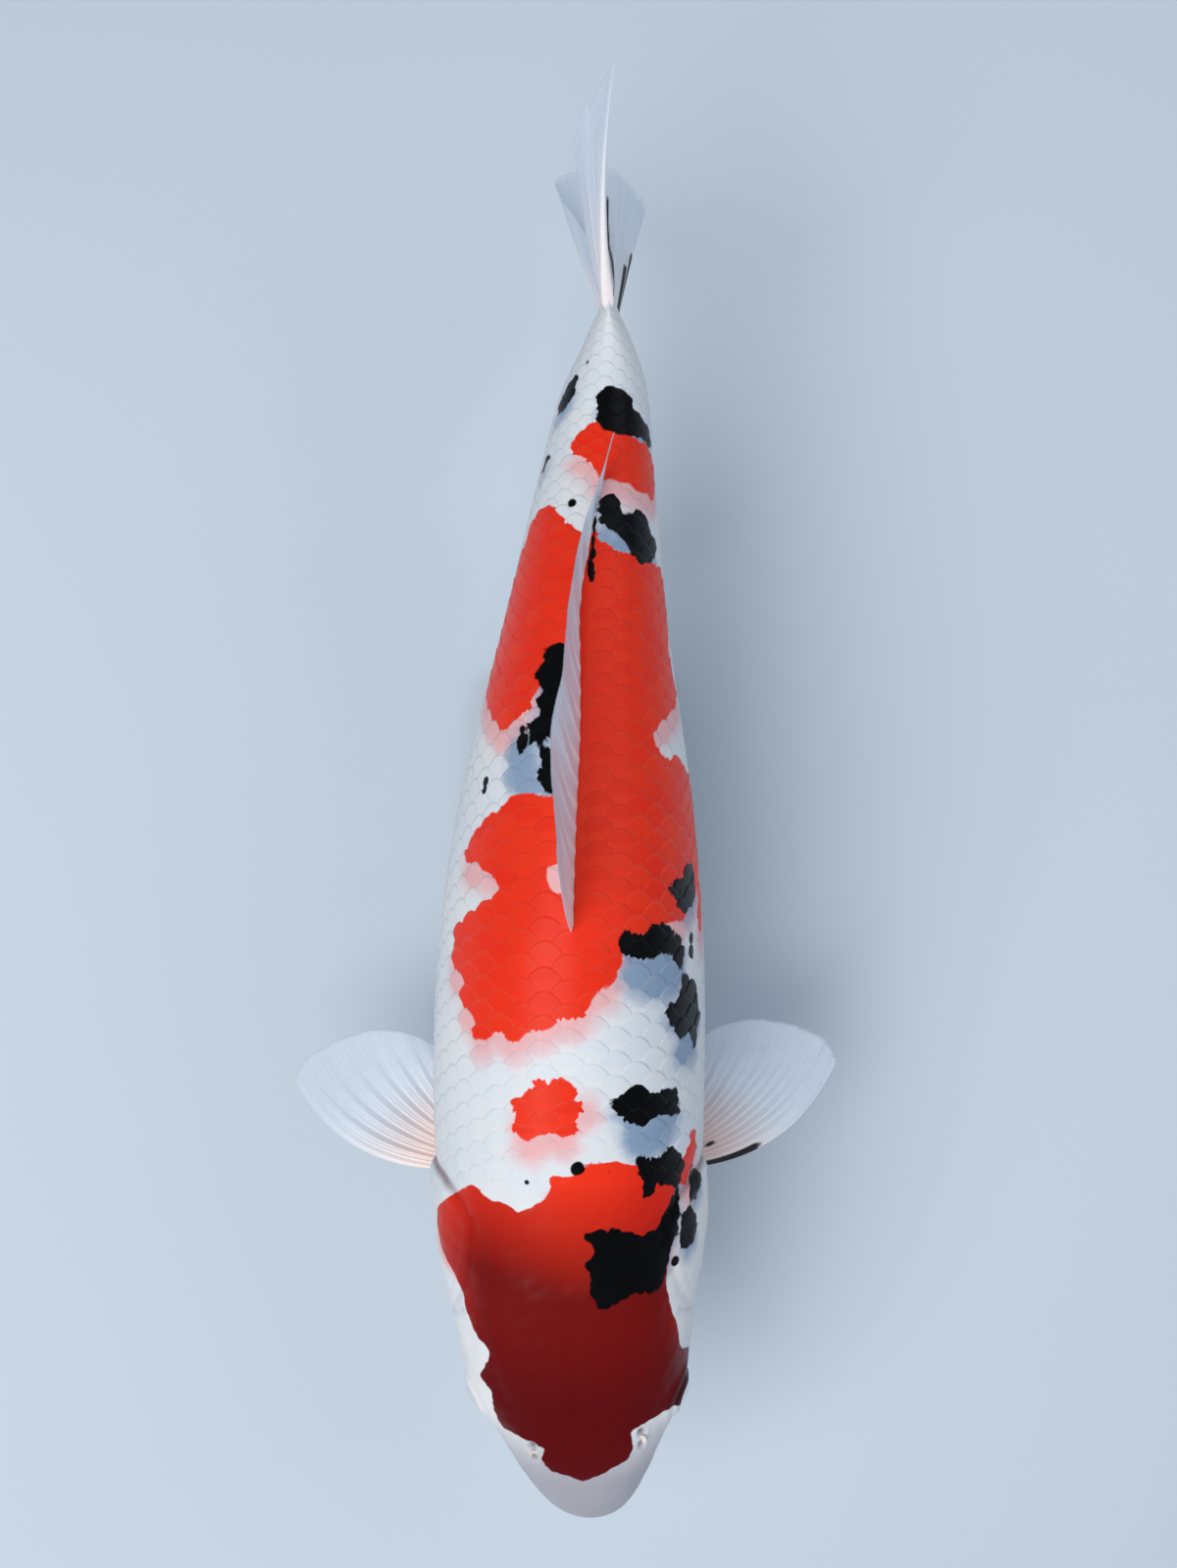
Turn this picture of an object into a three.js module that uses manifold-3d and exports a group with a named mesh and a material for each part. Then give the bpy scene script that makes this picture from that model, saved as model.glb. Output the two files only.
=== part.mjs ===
// A koi carp at life size, swimming with a gentle bend, held over the floor by a plain display stand.
//
// Millimetres, +Z up. The fish lies along Y with its head at -Y and its back up. Its left side is at +X.
// The origin is the centre of the stand's underside.
//
// The body is one loft over a table of stations. It is parted by thin cuts into head, jaw, gill covers,
// trunk and tail stem. Fins are fans of rays drawn between a root line on the body and a free rim.
//
// Fish coordinates are (x, at, z): x from the fish's own bent middle line, at from the snout towards the
// tail, z from the swimming axis. place() turns them into the part's own frame.

import * as THREE from 'three';
import { mergeVertices } from 'three/addons/utils/BufferGeometryUtils.js';
import Module from 'manifold-3d';

const wasm = await Module();
wasm.setup();

// ---------------------------------------------------------------- driving dimensions

const AXIS_HEIGHT = 138; // swimming axis above the floor
const REST_AT = 228; // station over the middle of the stand
const GAP = 0.3; // between neighbouring pieces

const BODY_END = 496; // end of the scaled flesh, where the tail rays begin
const BEND_AT = 165; // station furthest to the fish's right
const BEND_OFFSET = -1; // middle line there, from the stand's own middle
const HEAD_SWING = 9; // how far the snout turns back from it
const TAIL_SWING = 16; // how far the tail stem turns back from it
const SWING_END = 480; // station behind which the middle line is straight

// The body's sections. half: half width. back, belly: heights of the top and bottom. beam: height of the
// widest line. upper, lower: fullness of the halves, where 2 is an ellipse and more is squarer.
const STATIONS = [
  { at: 0, half: 0, back: -12, belly: -12, beam: -12, upper: 2.0, lower: 2.0 }, // snout
  { at: 4, half: 12.7, back: -1, belly: -22.5, beam: -12, upper: 2.1, lower: 2.1 }, // lips
  { at: 12, half: 19.9, back: 8, belly: -29.5, beam: -11, upper: 2.3, lower: 2.2 },
  { at: 26, half: 27.4, back: 18, belly: -36.5, beam: -8, upper: 2.5, lower: 2.2 },
  { at: 42, half: 34.4, back: 26, belly: -42, beam: -5, upper: 2.6, lower: 2.2 }, // nostrils
  { at: 60, half: 41.4, back: 33, belly: -46.5, beam: -3, upper: 2.6, lower: 2.2 }, // eyes
  { at: 85, half: 48.6, back: 41, belly: -51, beam: -4, upper: 2.5, lower: 2.2 }, // cheeks
  { at: 112, half: 51.3, back: 49, belly: -55, beam: -5, upper: 2.35, lower: 2.3 }, // gill covers
  { at: 140, half: 54.6, back: 57.5, belly: -59, beam: -6, upper: 2.2, lower: 2.4 }, // shoulder
  { at: 180, half: 56.1, back: 67, belly: -63, beam: -4, upper: 2.1, lower: 2.4 },
  { at: 240, half: 54.6, back: 75.5, belly: -65, beam: 0, upper: 2.0, lower: 2.3 }, // dorsal fin's front
  { at: 300, half: 47.7, back: 70, belly: -60, beam: 2, upper: 2.0, lower: 2.1 },
  { at: 370, half: 34.1, back: 54.5, belly: -45, beam: 3, upper: 2.05, lower: 2.0 }, // anal fin's front
  { at: 430, half: 24.2, back: 37.5, belly: -30, beam: 3, upper: 2.1, lower: 2.0 },
  { at: 465, half: 18.2, back: 30.5, belly: -26, beam: 2, upper: 2.1, lower: 2.0 }, // slimmest stem
  { at: 485, half: 10.6, back: 29, belly: -26.5, beam: 1, upper: 2.0, lower: 2.0 },
  { at: BODY_END, half: 6, back: 30, belly: -28, beam: 1, upper: 2.0, lower: 2.0 }, // root of the tail
];

// Soft swellings over the sections, on both sides. around: degrees down from the back ridge.
const SWELLINGS = [
  { at: 58, around: 80, along: 13, across: 22, height: 2.6 }, // eye socket
  { at: 124, around: 98, along: 24, across: 45, height: 2.3 }, // gill cover
  { at: 38, around: 31, along: 9, across: 13, height: 0.9 }, // nostril
];

const RING_POINTS = 30;
const NOSE_STATIONS = [0.15, 1.2, 3.5, 7, 12, 18, 25, 33, 42, 51, 60, 70, 81];
const RING_STEP = 15; // between rings behind them
const SHELL = 5; // thickness of a gill cover

const EYE_RADIUS = 9.2;
const EYE_AT = 58;
const EYE_AROUND = 80; // degrees down from the back ridge
const EYE_SINK = 6.4; // centre below the skin
const NOSTRIL = { at: 42, around: 30, radius: 2.4 };
const MOUTH = { half: 16.6, depth: 17, front: -18.5, corner: -25.5 }; // lips' line: its arc and its heights
const LIP_RADIUS = 2.9;

// ---------------------------------------------------------------- body function

const degrees = THREE.MathUtils.degToRad;

// A smooth curve through one column of the stations. It runs over the root of the distance from the
// snout, which rounds the nose.
function stationValue(column, at) {
  const places = STATIONS.map((row) => Math.sqrt(row.at));
  const values = STATIONS.map((row) => row[column]);
  const last = places.length - 1;
  const here = THREE.MathUtils.clamp(Math.sqrt(Math.max(at, 0)), 0, places[last]);
  const low = Math.min(Math.max(places.findIndex((place) => place > here) - 1, 0), last - 1);
  const index = here >= places[last] ? last - 1 : low;
  const slope = (i) => {
    const before = Math.max(i - 1, 0);
    const after = Math.min(i + 1, last);
    return (values[after] - values[before]) / (places[after] - places[before]);
  };
  const span = places[index + 1] - places[index];
  const s = (here - places[index]) / span;
  return (
    (2 * s ** 3 - 3 * s ** 2 + 1) * values[index] +
    (s ** 3 - 2 * s ** 2 + s) * span * slope(index) +
    (3 * s ** 2 - 2 * s ** 3) * values[index + 1] +
    (s ** 3 - s ** 2) * span * slope(index + 1)
  );
}

// How far the fish's middle line stands to the side of the stand's middle.
function sway(at) {
  const reach = at < BEND_AT ? BEND_AT : SWING_END - BEND_AT;
  const swing = at < BEND_AT ? HEAD_SWING : TAIL_SWING;
  return BEND_OFFSET + swing * (Math.min(Math.abs(at - BEND_AT), reach) / reach) ** 2;
}

function place(x, at, z) {
  return new THREE.Vector3(x + sway(at), at - REST_AT, z + AXIS_HEIGHT);
}

function bump(distance, reach) {
  return Math.exp(-((distance / reach) ** 2));
}

function swelling(at, around) {
  const side = Math.abs(THREE.MathUtils.radToDeg(Math.atan2(Math.sin(around), Math.cos(around))));
  let height = 0;
  for (const soft of SWELLINGS) {
    height += soft.height * bump(at - soft.at, soft.along) * bump(side - soft.around, soft.across);
  }
  return height;
}

// A point of the skin. around: radians from the back ridge down the left side and up the right.
// lift: outwards from the skin.
function bodyPoint(at, around, lift = 0) {
  const out = lift + swelling(at, around);
  const beam = stationValue('beam', at);
  const up = Math.cos(around) >= 0;
  const power = 2 / stationValue(up ? 'upper' : 'lower', at);
  const height = up ? stationValue('back', at) - beam : beam - stationValue('belly', at);
  const sine = Math.sin(around);
  const cosine = Math.cos(around);
  const x = (stationValue('half', at) + out) * Math.sign(sine) * Math.abs(sine) ** power;
  const z = beam + (height + out) * Math.sign(cosine) * Math.abs(cosine) ** power;
  return place(x, at, z);
}

// ---------------------------------------------------------------- meshes and solids

// A closed tube through rings of points. Both ends are closed by a fan to the ring's own middle.
function loft(rings) {
  const corners = [];
  const faces = [];
  const count = rings[0].length;
  for (const ring of rings) {
    for (const point of ring) {
      corners.push(point.x, point.y, point.z);
    }
  }
  for (let i = 0; i < rings.length - 1; i += 1) {
    for (let j = 0; j < count; j += 1) {
      const next = (j + 1) % count;
      const a = i * count + j;
      const b = i * count + next;
      faces.push(a, a + count, b + count);
      faces.push(a, b + count, b);
    }
  }
  for (const end of [0, rings.length - 1]) {
    const middle = new THREE.Vector3();
    for (const point of rings[end]) {
      middle.addScaledVector(point, 1 / count);
    }
    const hub = corners.length / 3;
    corners.push(middle.x, middle.y, middle.z);
    for (let j = 0; j < count; j += 1) {
      const a = end * count + j;
      const b = end * count + ((j + 1) % count);
      faces.push(...(end === 0 ? [hub, a, b] : [hub, b, a]));
    }
  }
  const geometry = new THREE.BufferGeometry();
  geometry.setAttribute('position', new THREE.Float32BufferAttribute(corners, 3));
  geometry.setIndex(faces);
  return geometry;
}

function toSolid(geometry) {
  const bare = geometry.clone();
  bare.deleteAttribute('normal');
  bare.deleteAttribute('uv');
  const merged = mergeVertices(bare, 1e-4);
  const mesh = new wasm.Mesh({
    numProp: 3,
    vertProperties: new Float32Array(merged.attributes.position.array),
    triVerts: new Uint32Array(merged.index.array),
  });
  const solid = new wasm.Manifold(mesh);
  return solid.volume() > 0 ? solid : toSolid(turnedOut(merged));
}

function turnedOut(geometry) {
  const flipped = geometry.clone();
  const index = flipped.index.array;
  for (let i = 0; i < index.length; i += 3) {
    [index[i], index[i + 1]] = [index[i + 1], index[i]];
  }
  return flipped;
}

function toGeometry(solid) {
  const mesh = solid.getMesh();
  const geometry = new THREE.BufferGeometry();
  geometry.setAttribute('position', new THREE.Float32BufferAttribute(mesh.vertProperties, mesh.numProp));
  geometry.setIndex(new THREE.BufferAttribute(mesh.triVerts, 1));
  geometry.computeVertexNormals();
  return geometry;
}

// The largest piece of a cut solid, without the crumbs.
function mainPiece(solid) {
  const pieces = solid.decompose();
  return pieces.reduce((best, piece) => (piece.volume() > best.volume() ? piece : best));
}

function bodySolid(lift = 0) {
  const stations = [...NOSE_STATIONS];
  while (stations.at(-1) < BODY_END - 1.5 * RING_STEP) {
    stations.push(stations.at(-1) + RING_STEP);
  }
  stations.push(BODY_END);
  const rings = stations.map((at) => {
    const ring = [];
    for (let j = 0; j < RING_POINTS; j += 1) {
      ring.push(bodyPoint(at, (2 * Math.PI * j) / RING_POINTS, lift));
    }
    return ring;
  });
  return toSolid(loft(rings));
}

// A slab across the fish from one side to the other, from its side outline of [at, z] corners.
function slab(outline, from = -150, to = 150) {
  const shape = new THREE.Shape(outline.map(([at, z]) => new THREE.Vector2(at - REST_AT, z + AXIS_HEIGHT)));
  const geometry = new THREE.ExtrudeGeometry(shape, { depth: to - from, bevelEnabled: false });
  const turn = new THREE.Matrix4().makeBasis(
    new THREE.Vector3(0, 1, 0),
    new THREE.Vector3(0, 0, 1),
    new THREE.Vector3(1, 0, 0),
  );
  geometry.applyMatrix4(turn);
  geometry.translate(from, 0, 0);
  return toSolid(geometry);
}

function ball(middle, radius, across, down) {
  const geometry = new THREE.SphereGeometry(radius, across, down);
  geometry.translate(middle.x, middle.y, middle.z);
  return toSolid(geometry);
}

function rod(middle, radius, from, to) {
  const geometry = new THREE.CylinderGeometry(radius, radius, to - from, 16);
  geometry.rotateX(Math.PI / 2);
  geometry.translate(middle.x, middle.y, (from + to) / 2);
  return toSolid(geometry);
}

// A tapering round whisker or lip along a curve.
function whisker(curve, radiusAt, steps, sides) {
  const frames = curve.computeFrenetFrames(steps, false);
  const rings = [];
  for (let i = 0; i <= steps; i += 1) {
    const middle = curve.getPointAt(i / steps);
    const ring = [];
    for (let j = 0; j < sides; j += 1) {
      const turn = (2 * Math.PI * j) / sides;
      const point = middle.clone();
      point.addScaledVector(frames.normals[i], radiusAt(i / steps) * Math.cos(turn));
      point.addScaledVector(frames.binormals[i], radiusAt(i / steps) * Math.sin(turn));
      ring.push(point);
    }
    rings.push(ring);
  }
  return toSolid(loft(rings));
}

// ---------------------------------------------------------------- fins

// A fin is a fan of rays from its root line to its rim. bow pushes the middle of the first ray, and the
// push fades towards the last ray. thick: thickness at the root and at the rim.
function finSolid(fin, side = 1) {
  const inPlace = ([x, at, z]) => place(side * x, at, z);
  const root = new THREE.CatmullRomCurve3(fin.root.map(inPlace), false, 'centripetal');
  const rim = new THREE.CatmullRomCurve3(fin.rim.map(inPlace), false, 'centripetal');
  const bow = new THREE.Vector3(side * fin.bow[0], fin.bow[1], fin.bow[2]);
  const middle = (across, along) => {
    const start = root.getPoint(across);
    const end = rim.getPoint(across);
    const point = start.lerp(end, along);
    return point.addScaledVector(bow, 4 * along * (1 - along) * (1 - across));
  };
  const rows = fin.rays;
  const columns = fin.steps;
  const front = [];
  const rear = [];
  const small = 0.01;
  for (let i = 0; i <= rows; i += 1) {
    for (let j = 0; j <= columns; j += 1) {
      const across = i / rows;
      const along = j / columns;
      const point = middle(across, along);
      const acrossWay = middle(Math.min(across + small, 1), Math.max(along, small));
      acrossWay.sub(middle(Math.max(across - small, 0), Math.max(along, small)));
      const alongWay = middle(across, Math.min(along + small, 1)).sub(middle(across, Math.max(along - small, 0)));
      const normal = acrossWay.cross(alongWay).normalize();
      const half = THREE.MathUtils.lerp(fin.thick[0], fin.thick[1], along) / 2;
      front.push(point.clone().addScaledVector(normal, half));
      rear.push(point.clone().addScaledVector(normal, -half));
    }
  }
  const corners = [...front, ...rear].flatMap((point) => [point.x, point.y, point.z]);
  const faces = [];
  const corner = (i, j) => i * (columns + 1) + j;
  const back = front.length;
  for (let i = 0; i < rows; i += 1) {
    for (let j = 0; j < columns; j += 1) {
      const [a, b, c, d] = [corner(i, j), corner(i + 1, j), corner(i + 1, j + 1), corner(i, j + 1)];
      faces.push(a, b, c, a, c, d);
      faces.push(back + a, back + c, back + b, back + a, back + d, back + c);
    }
  }
  const edge = [];
  for (let i = 0; i < rows; i += 1) {
    edge.push(corner(i, 0));
  }
  for (let j = 0; j < columns; j += 1) {
    edge.push(corner(rows, j));
  }
  for (let i = rows; i > 0; i -= 1) {
    edge.push(corner(i, columns));
  }
  for (let j = columns; j > 0; j -= 1) {
    edge.push(corner(0, j));
  }
  edge.forEach((here, i) => {
    const next = edge[(i + 1) % edge.length];
    faces.push(here, back + here, back + next);
    faces.push(here, back + next, next);
  });
  const geometry = new THREE.BufferGeometry();
  geometry.setAttribute('position', new THREE.Float32BufferAttribute(corners, 3));
  geometry.setIndex(faces);
  return toSolid(geometry);
}

// The dorsal fin's root follows the back ridge, a little to the right where the back twists.
const DORSAL_FRONT = 250;
const DORSAL_REAR = 417;
const DORSAL_TWIST = { at: 372, along: 26, shift: -3 };

function dorsalRoot(points) {
  const root = [];
  for (let i = 0; i < points; i += 1) {
    const at = THREE.MathUtils.lerp(DORSAL_FRONT, DORSAL_REAR, i / (points - 1));
    const shift = DORSAL_TWIST.shift * bump(at - DORSAL_TWIST.at, DORSAL_TWIST.along);
    root.push([0.6 + shift, at, stationValue('back', at) - 3]);
  }
  return root;
}

const DORSAL = {
  root: dorsalRoot(8),
  rim: [
    [-5, 279, 115],
    [-7.7, 303, 111],
    [-8.5, 325, 104],
    [-5.8, 345, 91],
    [-6.2, 372, 74],
    [-4.3, 400, 60],
    [0.4, 419, 53],
    [6, 441, 47],
  ],
  bow: [0, -4, 3],
  thick: [2.2, 0.8],
  rays: 14,
  steps: 4,
};

// The tail fin is cupped: its inner rays stand to the fish's right and its lowest ray to the left.
const TAIL_UPPER = {
  root: [[0, 492, 27.5], [0, 492, 14], [0, 492, 1.4]],
  rim: [
    [2.3, 574, 70],
    [-3, 571, 62],
    [-8, 567, 51],
    [-12.6, 560, 37],
    [-12.6, 552, 25],
    [-9.5, 542, 12],
    [-9, 533, 1.5],
  ],
  bow: [-3, 0, 2],
  thick: [3, 0.8],
  rays: 9,
  steps: 6,
};

const TAIL_LOWER = {
  root: [[0, 492, 0.6], [0, 492, -12], [0, 492, -25.5]],
  rim: [
    [-9.3, 533, 0],
    [-13.5, 543, -12],
    [-20, 556, -26],
    [-23.5, 567, -38],
    [-13.5, 577, -50],
    [2.5, 579, -58],
    [14, 571, -63],
    [18, 564, -65],
  ],
  bow: [0, 0, 0],
  thick: [3, 0.8],
  rays: 11,
  steps: 6,
};

const ANAL = {
  root: [[0, 377, -40], [0, 398, -35], [0, 418, -29]],
  rim: [
    [1, 414, -89],
    [2, 423, -80],
    [2.5, 430, -64],
    [2.5, 436, -47],
  ],
  bow: [0, -2, -3],
  thick: [2.2, 0.8],
  rays: 7,
  steps: 4,
};

const PECTORAL = {
  root: [[43, 139, -36], [45, 149, -38], [43, 159, -40]],
  rim: [
    [123, 173, -56],
    [120, 181.5, -57],
    [110.5, 189, -56],
    [98.5, 194.5, -54],
    [84.5, 197.5, -52],
    [70, 195.5, -50],
    [58, 190, -48],
  ],
  bow: [7, -11, 3],
  thick: [2.6, 0.8],
  rays: 12,
  steps: 5,
};

const PELVIC = {
  root: [[27, 243, -55], [20, 249, -59], [13, 254, -61]],
  rim: [
    [44, 296, -80],
    [40, 304, -86],
    [32, 306, -89],
    [23, 301, -90],
    [17, 291, -88],
  ],
  bow: [3, -2, -2],
  thick: [2.2, 0.8],
  rays: 7,
  steps: 4,
};

// The left pectoral fin is folded back a little further than the right one.
const PECTORAL_FOLD = { left: 7.5, right: 0 };

function foldedBack(fin, angle) {
  const turn = degrees(angle);
  const [pivotX, pivotAt] = fin.root[1];
  const turned = ([x, at, z]) => [
    pivotX + (x - pivotX) * Math.cos(turn) - (at - pivotAt) * Math.sin(turn),
    pivotAt + (x - pivotX) * Math.sin(turn) + (at - pivotAt) * Math.cos(turn),
    z,
  ];
  return { ...fin, rim: fin.rim.map(turned) };
}

// ---------------------------------------------------------------- head

// The gill cover's side outline, from its front upper corner round its free rear edge.
const GILL_OUTLINE = [
  [93, 20],
  [107, 30],
  [124, 33],
  [135, 24],
  [142, 9],
  [144, -6],
  [141.5, -20],
  [134, -33],
  [120, -45],
  [102, -52],
  [86, -50],
  [88, -26],
  [91, -4],
];
const GILL_MIDDLE = [116, -8];

// The line behind the head: over the nape, down behind the gill cover and under the throat.
const HEAD_LINE = [
  [125, 120],
  [127, 37],
  [138.5, 25],
  [145, 10],
  [147, -6],
  [144.5, -21.5],
  [136.5, -35.5],
  [121.5, -48],
  [110, -60],
  [110, -120],
];

// The lower jaw's side outline: the mouth's slit, then down behind its hinge.
const JAW_OUTLINE = [
  [-10, -15.5],
  [17, -26],
  [44, -36],
  [60, -50],
  [60, -80],
  [-10, -80],
];

function grown(outline, [middleAt, middleZ], by) {
  return outline.map(([at, z]) => {
    const reach = Math.hypot(at - middleAt, z - middleZ);
    return [at + ((at - middleAt) * by) / reach, z + ((z - middleZ) * by) / reach];
  });
}

function lipCurve(rise) {
  const points = [];
  const steps = 12;
  for (let i = 0; i <= steps; i += 1) {
    const swing = ((i / steps) * 2 - 1) * (Math.PI / 2);
    const at = 1.6 + MOUTH.depth * (1 - Math.cos(swing));
    const z = THREE.MathUtils.lerp(MOUTH.front, MOUTH.corner, 1 - Math.cos(swing));
    points.push(place(MOUTH.half * Math.sin(swing), at, z + rise * Math.cos(swing * 0.8)));
  }
  return new THREE.CatmullRomCurve3(points, false, 'centripetal');
}

function lip(rise) {
  const fade = (share) => LIP_RADIUS * (0.45 + 0.55 * Math.sin(Math.PI * share));
  return whisker(lipCurve(rise), fade, 9, 6);
}

function eyeMiddle(side) {
  return bodyPoint(EYE_AT, side * degrees(EYE_AROUND), -EYE_SINK);
}

const BARBELS = [
  { name: 'corner', points: [[16, 17.5, -25], [20.5, 18, -31], [23, 22, -38], [23.5, 27, -42]], radius: 1.5 },
  { name: 'lip', points: [[13.2, 7, -15.5], [16.6, 5.5, -17.5], [18.5, 5.5, -21], [18.8, 7, -24]], radius: 1.1 },
];

// ---------------------------------------------------------------- stand

const BASE = { length: 270, width: 84, height: 12, corner: 14, bevel: 1.5 };
const RODS = { front: -62, rear: 88, radius: 4, foot: 4 };

function standBase(rodPlaces) {
  const halfWidth = BASE.width / 2 - BASE.bevel;
  const halfLength = BASE.length / 2 - BASE.bevel;
  const corner = BASE.corner - BASE.bevel;
  const shape = new THREE.Shape();
  shape.moveTo(corner - halfWidth, -halfLength);
  shape.absarc(halfWidth - corner, corner - halfLength, corner, -Math.PI / 2, 0);
  shape.absarc(halfWidth - corner, halfLength - corner, corner, 0, Math.PI / 2);
  shape.absarc(corner - halfWidth, halfLength - corner, corner, Math.PI / 2, Math.PI);
  shape.absarc(corner - halfWidth, corner - halfLength, corner, Math.PI, Math.PI * 1.5);
  const geometry = new THREE.ExtrudeGeometry(shape, {
    depth: BASE.height - 2 * BASE.bevel,
    bevelThickness: BASE.bevel,
    bevelSize: BASE.bevel,
    bevelSegments: 1,
    curveSegments: 4,
  });
  geometry.translate(0, 0, BASE.bevel);
  return rodPlaces.reduce(
    (base, middle) => base.subtract(rod(middle, RODS.radius + GAP, RODS.foot - GAP, BASE.height + 5)),
    toSolid(geometry),
  );
}

// ---------------------------------------------------------------- the whole

const FINISH = {
  white_skin: { color: '#e6e4e2', roughness: 0.35 },
  red_skin: { color: '#d8452b', roughness: 0.35 },
  fin: { color: '#dfe3ea', roughness: 0.4 },
  eye: { color: '#20242b', roughness: 0.1 },
  base: { color: '#3b2a20', roughness: 0.5 },
  steel: { color: '#b9bcc0', roughness: 0.3, metalness: 1 },
};

const koi = new THREE.Group();

function add(name, solid, finish) {
  const look = FINISH[finish];
  const material = new THREE.MeshStandardMaterial({ metalness: 0, ...look });
  const mesh = new THREE.Mesh(toGeometry(solid), material);
  mesh.name = name;
  koi.add(mesh);
}

const whole = bodySolid();
const clearance = bodySolid(GAP);
const underGill = bodySolid(-SHELL);
const underGillClear = bodySolid(-SHELL - GAP);

function between(from, to) {
  return slab([[from, -120], [to, -120], [to, 120], [from, 120]]);
}

function addHead() {
  const ahead = slab([...HEAD_LINE, [-40, -120], [-40, 120]]);
  const gillWindow = slab(grown(GILL_OUTLINE, GILL_MIDDLE, GAP)).subtract(underGillClear);
  const jawSlot = slab(grown(JAW_OUTLINE, [30, -60], GAP));
  const sockets = [1, -1].map((side) => ball(eyeMiddle(side), EYE_RADIUS + GAP, 14, 8));
  const nostrils = [1, -1].map((side) => {
    const skin = bodyPoint(NOSTRIL.at, side * degrees(NOSTRIL.around));
    return ball(skin, NOSTRIL.radius, 7, 4);
  });
  let head = whole.intersect(ahead).subtract(gillWindow).add(lip(LIP_RADIUS * 0.9));
  head = [...sockets, ...nostrils, jawSlot].reduce((solid, cut) => solid.subtract(cut), head);
  add('head', mainPiece(head), 'red_skin');
  const jaw = whole.intersect(slab(JAW_OUTLINE)).add(lip(-LIP_RADIUS * 0.9).intersect(slab(JAW_OUTLINE)));
  add('jaw', mainPiece(jaw), 'white_skin');
  for (const [name, side] of [['left', 1], ['right', -1]]) {
    const window = slab(GILL_OUTLINE, side > 0 ? 12 : -90, side > 0 ? 90 : -12);
    add(`gill_cover_${name}`, mainPiece(whole.intersect(window).subtract(underGill)), 'white_skin');
    add(`eye_${name}`, ball(eyeMiddle(side), EYE_RADIUS, 14, 10), 'eye');
  }
}

function addBarbels() {
  for (const barbel of BARBELS) {
    for (const [name, side] of [['left', 1], ['right', -1]]) {
      const curve = new THREE.CatmullRomCurve3(barbel.points.map(([x, at, z]) => place(side * x, at, z)));
      const taper = (share) => barbel.radius * (1 - 0.65 * share);
      const free = whisker(curve, taper, 6, 6).subtract(headClearance);
      add(`barbel_${barbel.name}_${name}`, mainPiece(free), 'white_skin');
    }
  }
}

function addTrunk() {
  const behindHead = slab([...grown(HEAD_LINE, [60, -6], GAP), [260, -120], [260, 120]]);
  add('trunk_front', mainPiece(whole.intersect(behindHead).intersect(between(90, 250 - GAP))), 'white_skin');
  add('trunk_rear', whole.intersect(between(250, 400 - GAP)), 'red_skin');
  add('tail_stem', whole.intersect(between(400, 600)), 'white_skin');
}

function addFins() {
  add('dorsal_fin', mainPiece(finSolid(DORSAL).subtract(clearance)), 'fin');
  add('tail_fin_upper', mainPiece(finSolid(TAIL_UPPER).subtract(clearance)), 'fin');
  add('tail_fin_lower', mainPiece(finSolid(TAIL_LOWER).subtract(clearance)), 'fin');
  add('anal_fin', mainPiece(finSolid(ANAL).subtract(clearance)), 'fin');
  for (const [name, side] of [['left', 1], ['right', -1]]) {
    const pectoral = finSolid(foldedBack(PECTORAL, PECTORAL_FOLD[name]), side);
    add(`pectoral_fin_${name}`, mainPiece(pectoral.subtract(clearance)), 'fin');
    add(`pelvic_fin_${name}`, mainPiece(finSolid(PELVIC, side).subtract(clearance)), 'fin');
  }
}

function addStand() {
  const places = Object.fromEntries(
    ['front', 'rear'].map((name) => [name, new THREE.Vector3(sway(RODS[name] + REST_AT), RODS[name], 0)]),
  );
  add('stand_base', standBase(Object.values(places)), 'base');
  for (const [name, middle] of Object.entries(places)) {
    const post = rod(middle, RODS.radius, RODS.foot, AXIS_HEIGHT).subtract(clearance);
    const lowest = post.decompose().reduce((best, piece) => {
      return piece.boundingBox().min[2] < best.boundingBox().min[2] ? piece : best;
    });
    add(`stand_rod_${name}`, lowest, 'steel');
  }
}

const headClearance = clearance.add(lip(LIP_RADIUS * 0.9)).add(lip(-LIP_RADIUS * 0.9));

addHead();
addBarbels();
addTrunk();
addFins();
addStand();

export default koi;
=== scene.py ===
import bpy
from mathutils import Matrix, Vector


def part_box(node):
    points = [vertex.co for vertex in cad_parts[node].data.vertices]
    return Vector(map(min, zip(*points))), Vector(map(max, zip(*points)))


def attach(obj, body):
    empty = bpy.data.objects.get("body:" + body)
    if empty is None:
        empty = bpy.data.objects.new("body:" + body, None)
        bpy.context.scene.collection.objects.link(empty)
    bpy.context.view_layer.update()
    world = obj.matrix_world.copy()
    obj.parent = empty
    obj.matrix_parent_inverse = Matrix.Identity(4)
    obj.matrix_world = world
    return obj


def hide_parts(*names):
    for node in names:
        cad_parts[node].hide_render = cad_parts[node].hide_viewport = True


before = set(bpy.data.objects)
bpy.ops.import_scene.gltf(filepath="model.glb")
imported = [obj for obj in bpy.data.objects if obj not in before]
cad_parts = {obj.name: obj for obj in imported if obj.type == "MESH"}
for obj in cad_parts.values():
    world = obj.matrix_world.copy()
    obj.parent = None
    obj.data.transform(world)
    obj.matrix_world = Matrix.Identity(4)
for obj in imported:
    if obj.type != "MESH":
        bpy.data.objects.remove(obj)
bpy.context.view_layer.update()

import math

import bmesh
import bpy
import numpy as np
from mathutils import Matrix, Vector

bl_info = {
    "name": "Koi carp",
    "version": (1, 0, 0),
    "blender": (4, 5, 0),
    "location": "3D View > Sidebar > Koi",
    "description": "Builds a life-size koi carp with its scales, fins and display stand",
    "category": "Object",
}

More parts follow.
